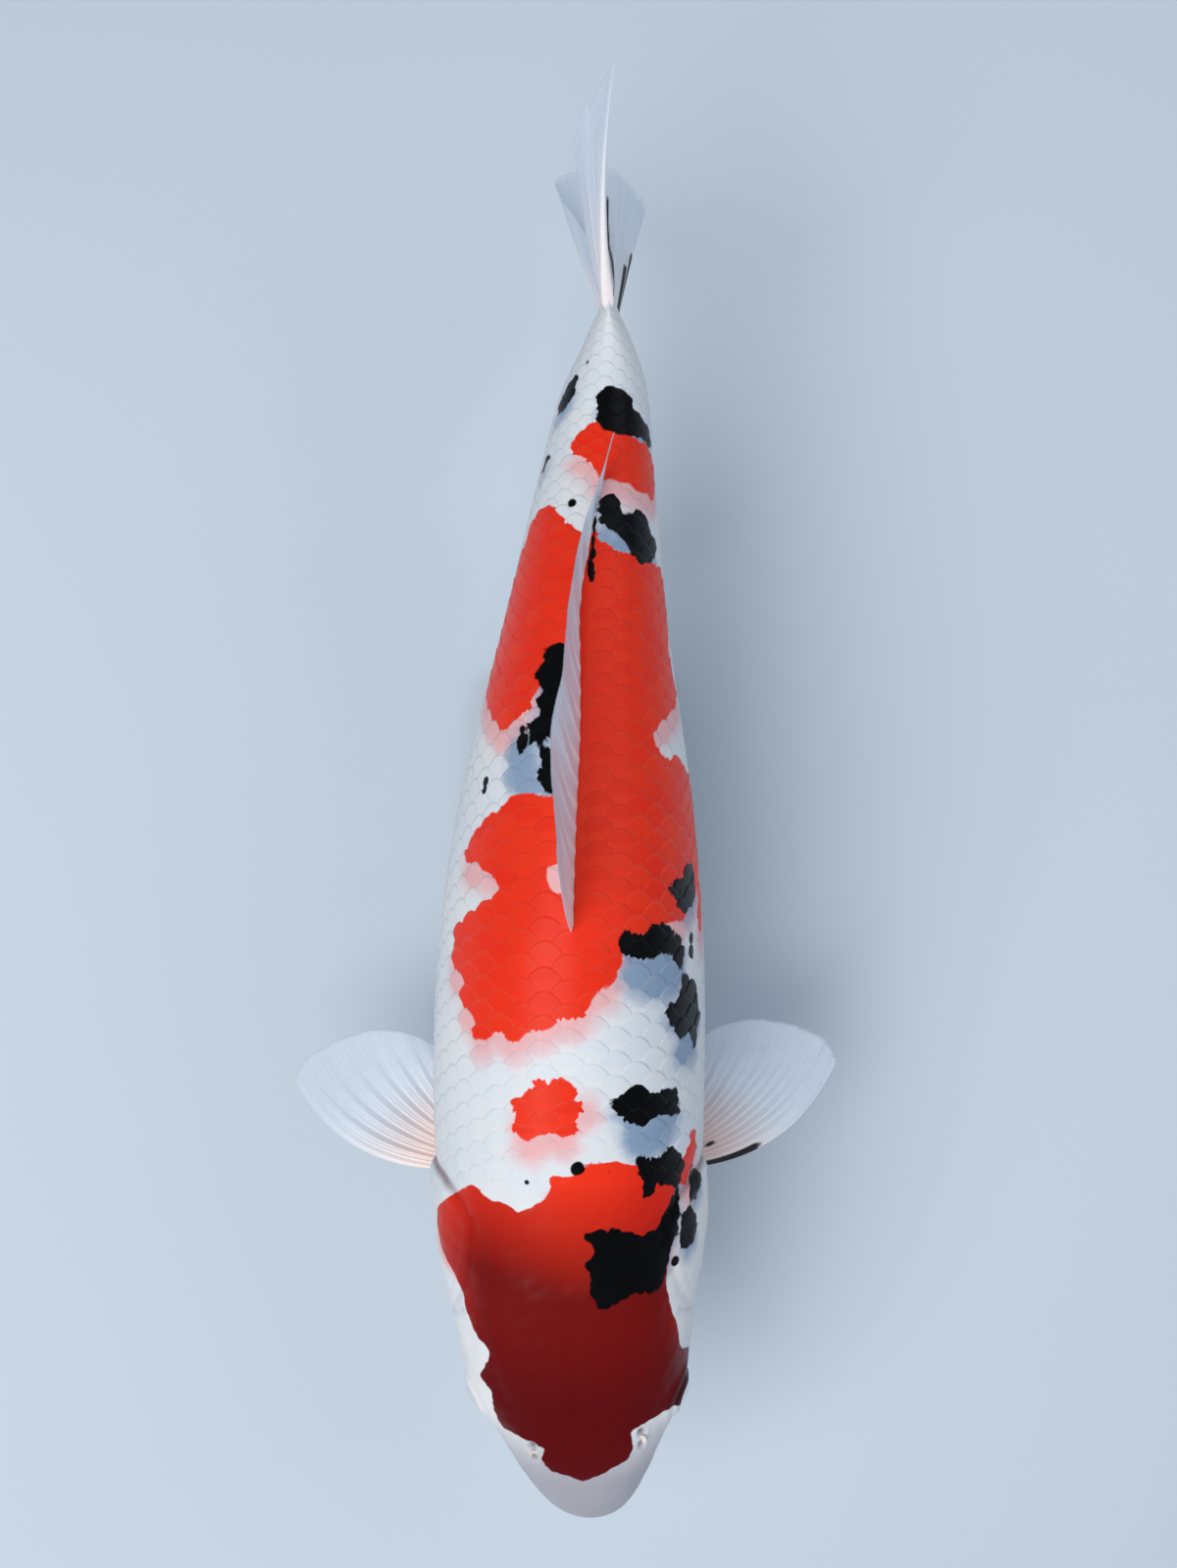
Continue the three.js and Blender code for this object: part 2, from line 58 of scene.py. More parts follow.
# Shapes are worked out in millimetres in the fish's own coordinates: x from its bent middle line, at from
# the snout towards the tail, z from the swimming axis. in_place() turns them into metres in the frame.
# A place on the skin is (at, share): share runs from 0 on the back ridge to 1 on the belly, and is
# positive on the fish's left. Its distance round from the ridge, in millimetres, is called girth.

MM = 0.001
SIDES = (("left", 1), ("right", -1))


def srgb(text):
    """The linear colour of an sRGB hex value."""
    parts = [int(text[i : i + 2], 16) / 255 for i in (1, 3, 5)]
    return tuple(c / 12.92 if c <= 0.04045 else ((c + 0.055) / 1.055) ** 2.4 for c in parts)


def colour_property(name, description, text):
    return bpy.props.FloatVectorProperty(
        name=name, description=description, subtype="COLOR", size=3, min=0, max=1, default=srgb(text)
    )


def length_property(name, description, millimetres):
    return bpy.props.FloatProperty(
        name=name, description=description, unit="LENGTH", precision=5, min=0, default=millimetres * MM
    )

def light_property(name, description, default, **settings):
    return bpy.props.FloatProperty(name=name, description=description, default=default, **settings)


# ------------------------------------------------------------------ settings


class KoiSizes(bpy.types.PropertyGroup):
    """Sizes of the coat and the small parts."""

    coat: length_property("Coat depth", "How far the skin lies inside the solid body under the scales", 0.8)
    scale_rise: length_property("Scale rise", "How far a scale's rear edge stands over its root", 0.42)
    scale_long: length_property("Scale spacing", "Distance between scales along the body at the back", 9.2)
    scale_wide: length_property("Row spacing", "Distance between rows of scales at the back", 9.3)
    pupil: length_property("Pupil", "Radius of the pupil", 3.3)
    web: length_property("Fin web", "Thickness of the web between fin rays", 0.35)
    ray: length_property("Fin ray", "Height of a fin ray over the web at its root", 0.5)


class KoiColours(bpy.types.PropertyGroup):
    """Colours of the fish and its stand."""

    white: colour_property("White", "Ground colour of the scales", "#e3e2e0")
    pearl: colour_property("Pearl", "Second tone of the ground", "#d2d9e3")
    red: colour_property("Red", "Red patches on the scales", "#e42115")
    orange: colour_property("Orange", "Lighter tone of the red patches", "#f04522")
    crimson: colour_property("Crimson", "Red of the bare head skin", "#5b080c")
    # A dark red ring round each eye: partly painted shade of the socket under the brow, partly the eye's own
    # dark rim.
    brow: colour_property("Brow", "Red skin beside the eye", "#2a0709")
    # Painted shade: a grey lilac laid over the pale skin of the snout.
    snout_shade: colour_property("Lilac", "Bare skin of the snout", "#94929f")
    black: colour_property("Black", "Black patches", "#040507")
    pink: colour_property("Pink", "Red seen through a white scale", "#e79a9b")
    slate: colour_property("Slate", "Black seen through a white scale", "#6586aa")
    web: colour_property("Web", "Fin web", "#d6e1ee")
    ray: colour_property("Ray", "Fin rays", "#f2f5fa")
    peach: colour_property("Peach", "Roots of the fins", "#e0b4a6")
    iris: colour_property("Iris", "Ring of the eye", "#c9bf9c")
    walnut: colour_property("Walnut", "Wood of the stand", "#4a3122")
    steel: colour_property("Steel", "Rods of the stand", "#a9adb2")


class KoiStage(bpy.types.PropertyGroup):
    """Floor and light."""

    floor: colour_property("Floor", "Floor colour", "#c3cfdb")
    key: light_property("Key light", "Power of the main light", 23, unit="POWER")
    fill: light_property("Fill light", "Power of the fill light", 6, unit="POWER")
    sky: light_property("Sky", "Strength of the light from all round", 0.36, min=0)


# ------------------------------------------------------------------ the body's shape

AXIS_HEIGHT = 138.0
REST_AT = 228.0
BEND_AT = 165.0
BEND_OFFSET = -1.0
HEAD_SWING = 9.0
TAIL_SWING = 16.0
SWING_END = 480.0
STEM_END = 496.0  # where the body passes into the root of the tail fin
SKIN_END = 507.0
STEM_HALF = 29.0
STEM_ROUND = 9.0  # how much further back the stem ends at its middle

STATIONS = np.array(
    (
        # at, half width, back, belly, height of the widest line, fullness above it, fullness below it
        (0, 0, -12, -12, -12, 2.0, 2.0),
        (4, 12.7, -1, -22.5, -12, 2.1, 2.1),
        (12, 19.9, 8, -29.5, -11, 2.3, 2.2),
        (26, 27.4, 18, -36.5, -8, 2.5, 2.2),
        (42, 34.4, 26, -42, -5, 2.6, 2.2),
        (60, 41.4, 33, -46.5, -3, 2.6, 2.2),
        (85, 48.6, 41, -51, -4, 2.5, 2.2),
        (112, 51.3, 49, -55, -5, 2.35, 2.3),
        (140, 54.6, 57.5, -59, -6, 2.2, 2.4),
        (180, 56.1, 67, -63, -4, 2.1, 2.4),
        (240, 54.6, 75.5, -65, 0, 2.0, 2.3),
        (300, 47.7, 70, -60, 2, 2.0, 2.1),
        (370, 34.1, 54.5, -45, 3, 2.05, 2.0),
        (430, 24.2, 37.5, -30, 3, 2.1, 2.0),
        (465, 18.2, 30.5, -26, 2, 2.1, 2.0),
        (485, 10.6, 29, -26.5, 1, 2.0, 2.0),
        (STEM_END, 5.6, 29.6, -27.6, 1, 2.0, 2.0),
        (SKIN_END, 0.9, 29.6, -27.8, 1, 2.0, 2.0),
    )
)
AT, HALF, BACK, BELLY, BEAM, UPPER, LOWER = range(7)

SWELLINGS = (
    # at, degrees down from the ridge, reach along, reach across, height
    (58, 80, 13, 22, 2.6),  # eye socket
    (124, 98, 24, 45, 2.3),  # gill cover
    (38, 31, 9, 13, 0.9),  # nostril
)


def soft_step(low, high, value):
    share = np.clip((np.asarray(value, float) - low) / (high - low), 0, 1)
    return share * share * (3 - 2 * share)


def bump(distance, reach):
    return np.exp(-((np.asarray(distance, float) / reach) ** 2))


def station(column, at):
    """A smooth curve through one column of the stations, run over the root of the distance from the snout."""
    places = np.sqrt(STATIONS[:, AT])
    values = STATIONS[:, column]
    last = len(places) - 1
    here = np.clip(np.sqrt(np.maximum(at, 0)), 0, places[last])
    low = np.clip(np.searchsorted(places, here, side="right") - 1, 0, last - 1)
    before = np.maximum(np.arange(last + 1) - 1, 0)
    after = np.minimum(np.arange(last + 1) + 1, last)
    slope = (values[after] - values[before]) / (places[after] - places[before])
    span = places[low + 1] - places[low]
    s = (here - places[low]) / span
    return (
        (2 * s**3 - 3 * s**2 + 1) * values[low]
        + (s**3 - 2 * s**2 + s) * span * slope[low]
        + (3 * s**2 - 2 * s**3) * values[low + 1]
        + (s**3 - s**2) * span * slope[low + 1]
    )


def part_way(values, share):
    """What lies at a share of the way through a row of values."""
    last = len(values) - 1
    return np.interp(share * last, np.arange(last + 1), values)


def sway(at):
    at = np.asarray(at, float)
    reach = np.where(at < BEND_AT, BEND_AT, SWING_END - BEND_AT)
    swing = np.where(at < BEND_AT, HEAD_SWING, TAIL_SWING)
    return BEND_OFFSET + swing * (np.minimum(np.abs(at - BEND_AT), reach) / reach) ** 2


def in_place(points):
    """Fish coordinates in millimetres as frame coordinates in metres."""
    points = np.asarray(points, float)
    x, at, z = points[..., 0], points[..., 1], points[..., 2]
    return np.stack([x + sway(at), at - REST_AT, z + AXIS_HEIGHT], -1) * MM


def smooth_section(at, around):
    """Fish coordinates on the smooth solid body. around: degrees down from the ridge, + on the left."""
    at, around = np.broadcast_arrays(np.asarray(at, float), np.asarray(around, float))
    out = 0
    for soft_at, soft_around, along, across, height in SWELLINGS:
        out = out + height * bump(at - soft_at, along) * bump(np.abs(around) - soft_around, across)
    turn = np.radians(around)
    upper = np.cos(turn) >= 0
    beam = station(BEAM, at)
    power = 2 / np.where(upper, station(UPPER, at), station(LOWER, at))
    height = np.where(upper, station(BACK, at) - beam, beam - station(BELLY, at))
    sine, cosine = np.sin(turn), np.cos(turn)
    x = (station(HALF, at) + out) * np.sign(sine) * np.abs(sine) ** power
    z = beam + (height + out) * np.sign(cosine) * np.abs(cosine) ** power
    ends = STEM_ROUND * soft_step(478, SKIN_END, at) * ((z - 1) / STEM_HALF) ** 2
    return np.stack([x, at - ends, z], -1)


GIRTH_ROWS = 420
GIRTH_SHARES = 160


def measured_girths():
    """How the girth runs round the body, for each of many stations: their places, the half girths, and the
    angle at each share of the half girth."""
    ats = np.linspace(0.15, math.sqrt(SKIN_END), GIRTH_ROWS) ** 2
    angles = np.linspace(0, 180, 241)
    ring = smooth_section(ats[:, None], angles[None, :])
    steps = np.linalg.norm(np.diff(ring, axis=1), axis=2)
    run = np.concatenate([np.zeros((GIRTH_ROWS, 1)), np.cumsum(steps, 1)], 1)
    shares = np.linspace(0, 1, GIRTH_SHARES + 1)
    turned = np.stack([np.interp(shares, row / row[-1], angles) for row in run])
    return ats, run[:, -1], turned


GIRTH_ATS, HALF_GIRTHS, SHARE_ANGLES = measured_girths()


def half_girth(at):
    return np.interp(at, GIRTH_ATS, HALF_GIRTHS)


def around_at(at, share):
    """Degrees down from the ridge at a share of the half girth."""
    roots = np.sqrt(GIRTH_ATS)
    row = np.interp(np.sqrt(np.maximum(at, 0)), roots, np.arange(GIRTH_ROWS))
    column = np.clip(np.abs(share), 0, 1) * GIRTH_SHARES
    i = np.minimum(row.astype(int), GIRTH_ROWS - 2)
    j = np.minimum(column.astype(int), GIRTH_SHARES - 1)
    u, v = row - i, column - j
    near = SHARE_ANGLES[i, j] * (1 - v) + SHARE_ANGLES[i, j + 1] * v
    far = SHARE_ANGLES[i + 1, j] * (1 - v) + SHARE_ANGLES[i + 1, j + 1] * v
    return (near * (1 - u) + far * u) * np.sign(share)


def smooth_skin(at, share):
    return smooth_section(at, around_at(at, share))


def outward(at, share):
    """Unit vector straight out of the smooth skin."""
    along, across = 0.6, 0.006
    front = smooth_skin(np.maximum(at - along, 0), share)
    rear = smooth_skin(np.minimum(at + along, SKIN_END), share)
    low, high = np.clip(share - across, -1, 1), np.clip(share + across, -1, 1)
    normal = np.cross(smooth_skin(at, high) - smooth_skin(at, low), rear - front)
    size = np.linalg.norm(normal, axis=-1, keepdims=True)
    return np.where(size > 1e-7, normal / np.maximum(size, 1e-7), (0.0, -1.0, 0.0))


# ------------------------------------------------------------------ lines drawn on the skin


def rounded(points, closed=True, parts=4):
    """A smooth line through the points, with this many steps between neighbours."""
    points = np.asarray(points, float)
    count = len(points)
    spans = count if closed else count - 1
    line = []
    for i in range(spans):
        if closed:
            a, b, c, d = (points[(i + k) % count] for k in (-1, 0, 1, 2))
        else:
            a, b, c, d = (points[min(max(i + k, 0), count - 1)] for k in (-1, 0, 1, 2))
        for k in range(parts):
            t = k / parts
            square = (2 * a - 5 * b + 4 * c - d) * t**2
            cube = (3 * b - a - 3 * c + d) * t**3
            line.append(0.5 * (2 * b + (c - a) * t + square + cube))
    if not closed:
        line.append(points[-1])
    return np.array(line)


def distance_to(line, at, girth, closed=False):
    """Shortest distance from each place to a line of (at, girth) corners."""
    best = np.full(np.shape(at), 1e9)
    ends = np.roll(line, -1, 0) if closed else line[1:]
    for start, end in zip(line, ends):
        way = end - start
        size = max(way @ way, 1e-9)
        t = np.clip(((at - start[0]) * way[0] + (girth - start[1]) * way[1]) / size, 0, 1)
        best = np.minimum(best, (at - start[0] - t * way[0]) ** 2 + (girth - start[1] - t * way[1]) ** 2)
    return np.sqrt(best)


FAR = 14.0  # distances from an outline are cut off here


def depth_in(outline, at, girth):
    """Distance inside a closed outline, negative outside it."""
    at, girth = np.asarray(at, float), np.asarray(girth, float)
    result = np.full(at.shape, -FAR)
    low, high = outline.min(0) - FAR, outline.max(0) + FAR
    near = (at > low[0]) & (at < high[0]) & (girth > low[1]) & (girth < high[1])
    a, g = at[near], girth[near]
    if not a.size:
        return result
    inside = np.zeros(a.shape, bool)
    for start, end in zip(outline, np.roll(outline, -1, 0)):
        if start[1] == end[1]:
            continue
        crosses = (start[1] > g) != (end[1] > g)
        meets = (end[0] - start[0]) * (g - start[1]) / (end[1] - start[1]) + start[0]
        inside ^= crosses & (a < meets)
    distance = np.minimum(distance_to(outline, a, g, closed=True), FAR)
    result[near] = np.where(inside, distance, -distance)
    return result


# ------------------------------------------------------------------ relief of the head

EYE_AT, EYE_AROUND, EYE_RADIUS, EYE_SINK = 58.0, 80.0, 9.2, 7.0
NOSTRILS = {"left": (45.5, 25.5), "right": (40.0, -19.5)}  # at and girth: the head is rolled a little
LIP_HALF, LIP_DEPTH, LIP_FRONT, LIP_CORNER = 16.6, 17.0, -18.5, -25.5

HEAD_END = 165  # no relief of the head lies further back

# In (at, girth), for both sides alike.
GILL_COVER = rounded(
    (
        (97, 58), (108, 48), (123, 43), (137, 43), (145, 53), (150, 68), (152, 84), (150.5, 98),
        (145, 110), (136, 121), (121, 134), (103, 146), (88, 140), (87, 100), (90, 78),
    )
)
CHEEK_GROOVE = rounded(((97, 50), (93, 66), (91, 84), (87, 102), (78, 116), (66, 122)), closed=False)
JAW_GROOVE = rounded(((19, 55), (30, 72), (44, 91), (57, 108), (72, 124), (96, 138)), closed=False)
SKULL_GROOVE = rounded(((62, 30), (80, 34), (98, 40), (112, 42)), closed=False)
SCALE_LINE = np.array(
    (
        # girth, at: where the scales begin
        (0, 109), (14, 110), (27, 114), (37, 122), (43, 134), (50, 143), (60, 149), (70, 152.5), (84, 154.5),
        (98, 153), (110, 148), (121, 139), (134, 124), (147, 107), (170, 99), (230, 97),
    )
)


def eye_frame(side):
    """An eye's middle and the way it looks, in fish coordinates."""
    at, around = np.array([EYE_AT]), np.array([EYE_AROUND * side])
    skin = smooth_section(at, around)[0]
    small = 0.5
    along = smooth_section(at + small, around)[0] - smooth_section(at - small, around)[0]
    across = smooth_section(at, around + small)[0] - smooth_section(at, around - small)[0]
    look = np.cross(across, along)
    look /= np.linalg.norm(look)
    return skin - look * EYE_SINK, look


def lip_line(parts=61):
    turn = np.linspace(-math.pi / 2, math.pi / 2, parts)
    away = 1 - np.cos(turn)
    height = LIP_FRONT + (LIP_CORNER - LIP_FRONT) * away
    return np.stack([LIP_HALF * np.sin(turn), 1.6 + LIP_DEPTH * away, height], -1)


def ripple(points, size, seed):
    """A smooth unevenness of the given size in millimetres, from -1 to 1."""
    total = 0
    for k in range(5):
        angle = seed + 2.4 * k
        level = math.sin(angle)
        way = np.array([math.cos(angle), level * math.cos(seed + k), level * math.sin(seed + k)])
        total = total + np.sin(points @ way * (2 * math.pi / (size * (0.8 + 0.17 * k))) + seed * (k + 1))
    return total / 3


def behind_scale_line(at, girth):
    return at - np.interp(np.abs(girth), SCALE_LINE[:, 0], SCALE_LINE[:, 1])


def gill_edge(at, side):
    """Distance inside the gill cover, and how free its edge is there."""
    free = soft_step(92, 110, at) * (0.25 + 0.75 * soft_step(46, 62, side))
    return depth_in(GILL_COVER, at, side), free


def relief(points, at, girth):
    """How far the skin stands out from the smooth body, in millimetres."""
    side = np.abs(girth)
    mirrored = np.stack([np.abs(points[..., 0]), points[..., 1], points[..., 2]], -1)
    out = np.zeros(at.shape)

    head = at < HEAD_END
    p, a, g = mirrored[head], at[head], side[head]
    h = 0.22 * ripple(points[head], 17, 1.3) + 0.1 * ripple(points[head], 6, 4.1)
    h = h * soft_step(2, 30, a)

    # eye socket with its soft lid ring
    middle, look = eye_frame(1)
    off = p - middle
    deep = off @ look
    radius = np.sqrt(np.maximum((off**2).sum(-1) - deep**2, 0))
    radius = np.where(np.linalg.norm(off, axis=-1) < 30, radius, 99)
    h = h * soft_step(8, 14, radius)
    h = h - 4.5 * (1 - soft_step(6.2, 7.8, radius))
    above = soft_step(1, 7, off[:, 2])
    h = h + 0.75 * bump(radius - 8.5, 1.15) - 0.4 * bump(radius - 11.2, 1.3) + 0.25 * bump(radius - 13.4, 1.4)
    h = h + 1.0 * above * bump(radius - 10.2, 3.0)

    # nostrils: two pits with a bridge between them
    for nostril_at, nostril_girth in NOSTRILS.values():
        for ahead, deep_pit in ((-3.1, 1.3), (2.4, 1.7)):
            away = np.hypot((a - nostril_at - ahead) / 1.15, girth[head] - nostril_girth)
            h = h - deep_pit * np.exp(-((away / 1.7) ** 4)) + 0.35 * bump(away - 2.9, 0.9)

    # lips along the mouth's line
    front = a < 34
    q = points[head][front]
    line = lip_line()
    gap = np.linalg.norm(q[:, None, :] - line[None, :, :], axis=2)
    nearest = gap.argmin(1)
    gap = gap[np.arange(len(q)), nearest]
    above = q[:, 2] - line[nearest, 2]
    turn = np.abs(nearest / (len(line) - 1) - 0.5) * 2
    fade = 1 - 0.75 * soft_step(0.75, 1.0, turn)
    plump = np.where(above > 0, 1.75, 1.55)
    lips = plump * bump(gap - 2.5, 1.5) * fade - 1.9 * bump(gap, 0.7) * (1 - 0.5 * soft_step(0.85, 1, turn))
    lips = lips - np.where(above > 0, 0.7, 0.6) * bump(gap - 5.6, 1.1) * fade
    h[front] = h[front] + lips

    # gill cover, its free edge and the step behind it
    inner, edge = gill_edge(a, g)
    within = soft_step(-2.0, 0.9, inner)
    h = h + edge * within * (0.35 + 0.75 * soft_step(0, 5, inner))
    h = h - edge * (1 - within) * 1.7 * np.exp(np.minimum(inner, 0) / 4.2)
    h = h + edge * 0.25 * bump(inner - 3.2, 1.6) - edge * 0.3 * bump(inner - 6.2, 1.4)

    # cheek, jaw and skull grooves, and the folds under the throat
    from_cheek = distance_to(CHEEK_GROOVE, a, g)
    h = h - 0.75 * bump(from_cheek, 1.7) + 0.2 * bump(from_cheek - 4, 2)
    h = h - 0.8 * bump(distance_to(JAW_GROOVE, a, g), 1.3)
    h = h - 0.2 * bump(distance_to(SKULL_GROOVE, a, g), 2.2)
    h = h - 0.35 * bump(g, 2.2) * soft_step(46, 60, a) * (1 - soft_step(96, 108, a))
    under = half_girth(a) - g
    for fold in (6, 13, 20):
        h = h - 0.45 * bump(under - fold, 1.0) * soft_step(58, 72, a) * (1 - soft_step(108, 118, a))
    out[head] = h

    # root of the dorsal fin, the vent and the roots of the lower fins
    root = soft_step(246, 256, at) * (1 - soft_step(412, 424, at))
    out = out + 0.9 * bump(side, 3.4) * root
    vent = half_girth(at) - side
    out = out + 1.6 * bump(at - 370, 4.5) * bump(vent, 4.5)
    return out


def skin_depth(at, girth):
    """How far the skin lies inside the solid body."""
    coat = bpy.context.scene.koi_sizes.coat / MM
    scaled = 0.2 + 0.8 * soft_step(-4, 6, behind_scale_line(at, girth))
    return coat * scaled * (1 - soft_step(STEM_END, SKIN_END, at))


def skin_point(at, share, lift=0.0):
    """Fish coordinates on the skin, with its relief."""
    girth = share * half_girth(at)
    points = smooth_skin(at, share)
    stand = relief(points, at, girth) - skin_depth(at, girth) + lift
    return points + outward(at, share) * stand[..., None]


# ------------------------------------------------------------------ markings

# Outlines in (at, girth), with girth positive on the fish's left.
RED_PATCHES = (
    (  # head and shoulders
        (146, -52), (151, -41), (147, -33), (145, -23), (143, -19), (147, -11), (152, -7), (158, -6),
        (158, 1), (162, 8), (163, 18), (161, 28), (156, 40), (149, 48), (137, 45), (124, 43), (111, 41),
        (100, 43), (90, 47), (81, 49), (77, 60), (67, 66), (59, 63), (54, 56), (56, 42), (53, 31), (51, 24),
        (48, 21), (41, 21), (36, 18), (32, 11), (28, 4), (26, -1), (29, -7), (32, -14), (38, -16),
        (42, -15), (46, -24), (48, -33), (55, -36), (64, -36), (71, -41), (77, -37), (83, -35), (90, -42),
        (97, -46), (108, -50), (115, -57), (121, -64), (129, -68), (137, -66), (142, -58),
    ),
    (  # shoulder spot
        (187, -22), (189, -17), (195, -14), (196, -9), (193, -7), (197, -4), (194, 1), (187, 6), (181, 4),
        (176, 3), (173, -1), (175, -6), (171, -13), (173, -19), (178, -21), (183, -20),
    ),
    (  # saddle, and the band beside the dorsal fin
        (301, -8), (303, -19), (300, -27), (296, -31), (294, -38), (290, -45), (284, -54), (278, -57),
        (274, -51), (274, -41), (271, -32), (267, -30), (262, -35), (259, -45), (253, -55), (245, -62),
        (234, -61), (231, -50), (223, -51), (216, -43), (210, -40), (210, -34), (214, -29), (209, -21),
        (214, -15), (214, -10), (219, -2), (219, 4), (223, 8), (229, 12), (230, 17), (238, 20), (246, 21),
        (250, 28), (252, 40), (254, 56), (261, 66), (267, 82), (275, 91), (291, 94), (306, 87), (311, 72),
        (317, 57), (315, 48), (319, 38), (323, 35), (327, 39), (333, 52), (337, 62), (344, 68), (349, 61),
        (357, 55), (364, 56), (374, 61), (384, 57), (391, 44), (393, 28), (396, 10), (402, 2), (400, -1),
        (385, -3), (372, -4), (350, -3), (325, 0),
    ),
    (  # left of the dorsal fin
        (414, -18), (414, -25), (410, -33), (405, -39), (393, -49), (379, -57), (363, -63), (349, -66),
        (338, -58), (332, -47), (326, -37), (327, -31), (330, -26), (337, -20), (343, -15), (354, -8),
        (362, -3), (372, -3), (381, -4), (388, -5), (395, -4), (401, -4), (405, -8), (409, -13),
    ),
    (  # tail stem
        (447, -3), (444, -7), (441, -9), (438, -13), (434, -9), (431, -3), (427, -1), (423, 3), (422, 15),
        (419, 27), (421, 38), (431, 41), (439, 32), (441, 21), (443, 12), (447, 3),
    ),
    ((170, 63), (166, 71), (158, 67), (148, 57), (153, 51), (162, 58)),  # sliver behind the left gill
    ((265, 82), (262, 92), (248, 88), (246, 78), (255, 75)),  # sliver on the left flank
)
PALE_PATCHES = (((275, -3), (274, -9), (267, -8), (265, -3)),)  # notch beside the fin
BLACK_PATCHES = (
    (
        (164, 27), (163, 37), (166, 46), (159, 55), (152, 54), (149, 48), (152, 38), (148, 36), (148, 31),
        (155, 30),
    ),
    (
        (134, 6), (136, 10), (135, 23), (132, 28), (133, 34), (136, 39), (144, 45), (148, 51), (134, 48),
        (127, 45), (116, 41), (111, 38), (108, 33), (109, 26), (104, 15), (105, 10), (112, 8), (119, 8),
        (122, 6), (128, 9),
    ),
    ((135, 50), (139, 54), (137, 60), (129, 62), (125, 58), (122, 53), (126, 49)),
    ((154, 64), (149, 71), (141, 60), (143, 56)),
    (
        (187, 16), (189, 23), (192, 29), (190, 36), (189, 43), (188, 50), (181, 54), (178, 48), (179, 44),
        (178, 36), (175, 30), (182, 20),
    ),
    ((266, 44), (270, 47), (268, 56), (273, 60), (272, 71), (261, 74), (257, 66), (256, 57), (263, 47)),
    (
        (249, 19), (251, 24), (250, 29), (253, 34), (254, 40), (249, 52), (244, 57), (237, 56), (234, 52),
        (242, 47), (239, 33), (242, 26), (242, 21),
    ),
    (
        (232, 56), (227, 69), (214, 76), (208, 69), (205, 73), (201, 68), (210, 61), (209, 54), (218, 43),
        (222, 42), (224, 50), (227, 55),
    ),
    (
        (357, -16), (358, -12), (358, -8), (353, -5), (345, -6), (336, -6), (328, -9), (323, -9), (321, -16),
        (326, -21), (332, -16), (337, -19), (341, -16), (346, -20), (351, -15), (353, -16),
    ),
    ((318, -15), (318, -9), (305, -6), (300, -8), (305, -14)),
    ((328, -21), (327, -25), (320, -26), (315, -25), (316, -21), (322, -20)),
    (
        (414, 3), (418, 8), (412, 12), (410, 16), (413, 21), (409, 30), (397, 39), (391, 30), (393, 20),
        (400, 12), (407, 4),
    ),
    (
        (447, -3), (451, -1), (454, -3), (461, 1), (461, 6), (458, 12), (453, 17), (449, 28), (441, 33),
        (442, 17), (442, 6),
    ),
    ((468, -15), (463, -23), (452, -28), (454, -19), (461, -13)),
    ((437, -29), (430, -36), (429, -32), (436, -26)),
    ((418, 1.4), (408, 0.4), (396, 0.2), (386, -0.8), (382, 1), (385, 2.6), (396, 1.7), (408, 1.6)),
)
BLACK_DOTS = (
    # at, girth, radius
    (161, 4, 3.0), (119, 46, 2.3), (306, -44, 2.2), (303, -44, 1.8), (414, -9, 2.1), (240, 65, 3.0),
    (245, 65, 2.6), (472, -9, 1.1), (155, -15.5, 1.1),
)
# Black seen through the scales in front of a patch, apart from what each black patch shows by itself.
SHADOW_PATCHES = (
    ((178, 24), (165, 27), (167, 42), (177, 46)),
    ((242, 24), (229, 25), (226, 50), (238, 55)),
    ((212, 55), (199, 51), (199, 66), (208, 68)),
    ((322, -20), (320, -28), (304, -27), (302, -15), (312, -17)),
    ((401, 4), (396, 6), (393, 14), (398, 17)),
)
FLUSH_PATCHES = (((188, 4), (186, 10), (181, 11.5), (176, 7), (180, 3)),)  # faint red at the shoulder spot

RED_AHEAD = 8  # how far ahead of a patch its red shows through the scales
BLACK_AHEAD = 5
CROWN_END = 157  # where the deep red of the head has faded out
CROWN_FADE = 49


def most_inside(outlines, at, girth):
    best = np.full(np.shape(at), -FAR)
    for outline in outlines:
        best = np.maximum(best, depth_in(rounded(outline), at, girth))
    return best


def crown_share(at, girth):
    """How deep the red is: deepest on the snout and skull, where no scales lie over it, and fading through
    the nape and the gill covers, later on the fish's right."""
    turned = at + 0.3 * np.clip(girth, -34, 0)
    left = (CROWN_END - turned) / CROWN_FADE
    fade = soft_step(0, 0.12, left) * np.clip(left, 0, 1)
    cover = soft_step(34, 60, np.abs(girth)) * soft_step(78, 96, at)
    return fade * (1 - 0.08 * soft_step(55, 100, at)) * (1 - 0.4 * cover)


def marking_depths(at, girth):
    """Depths inside the red, black, pink and slate zones."""
    red = most_inside(RED_PATCHES, at, girth)
    red = np.minimum(red, -most_inside(PALE_PATCHES, at, girth))
    black = most_inside(BLACK_PATCHES, at, girth)
    slate = most_inside(BLACK_PATCHES, at + BLACK_AHEAD, girth) - 1
    slate = np.maximum(slate, most_inside(SHADOW_PATCHES, at, girth) + 2)
    pink = most_inside(RED_PATCHES, at + RED_AHEAD, girth) - FAR * (1 - soft_step(100, 120, at))
    pink = np.maximum(pink, most_inside(FLUSH_PATCHES, at, girth))
    return {"red": red, "black": black, "pink": pink, "slate": slate}


# ------------------------------------------------------------------ meshes


def mesh_from(bm, name):
    mesh = bpy.data.meshes.new(name)
    bm.to_mesh(mesh)
    bm.free()
    return mesh


def corners_of(mesh):
    corners = np.empty(len(mesh.vertices) * 3, np.float32)
    mesh.vertices.foreach_get("co", corners)
    return corners.reshape(-1, 3).astype(float)


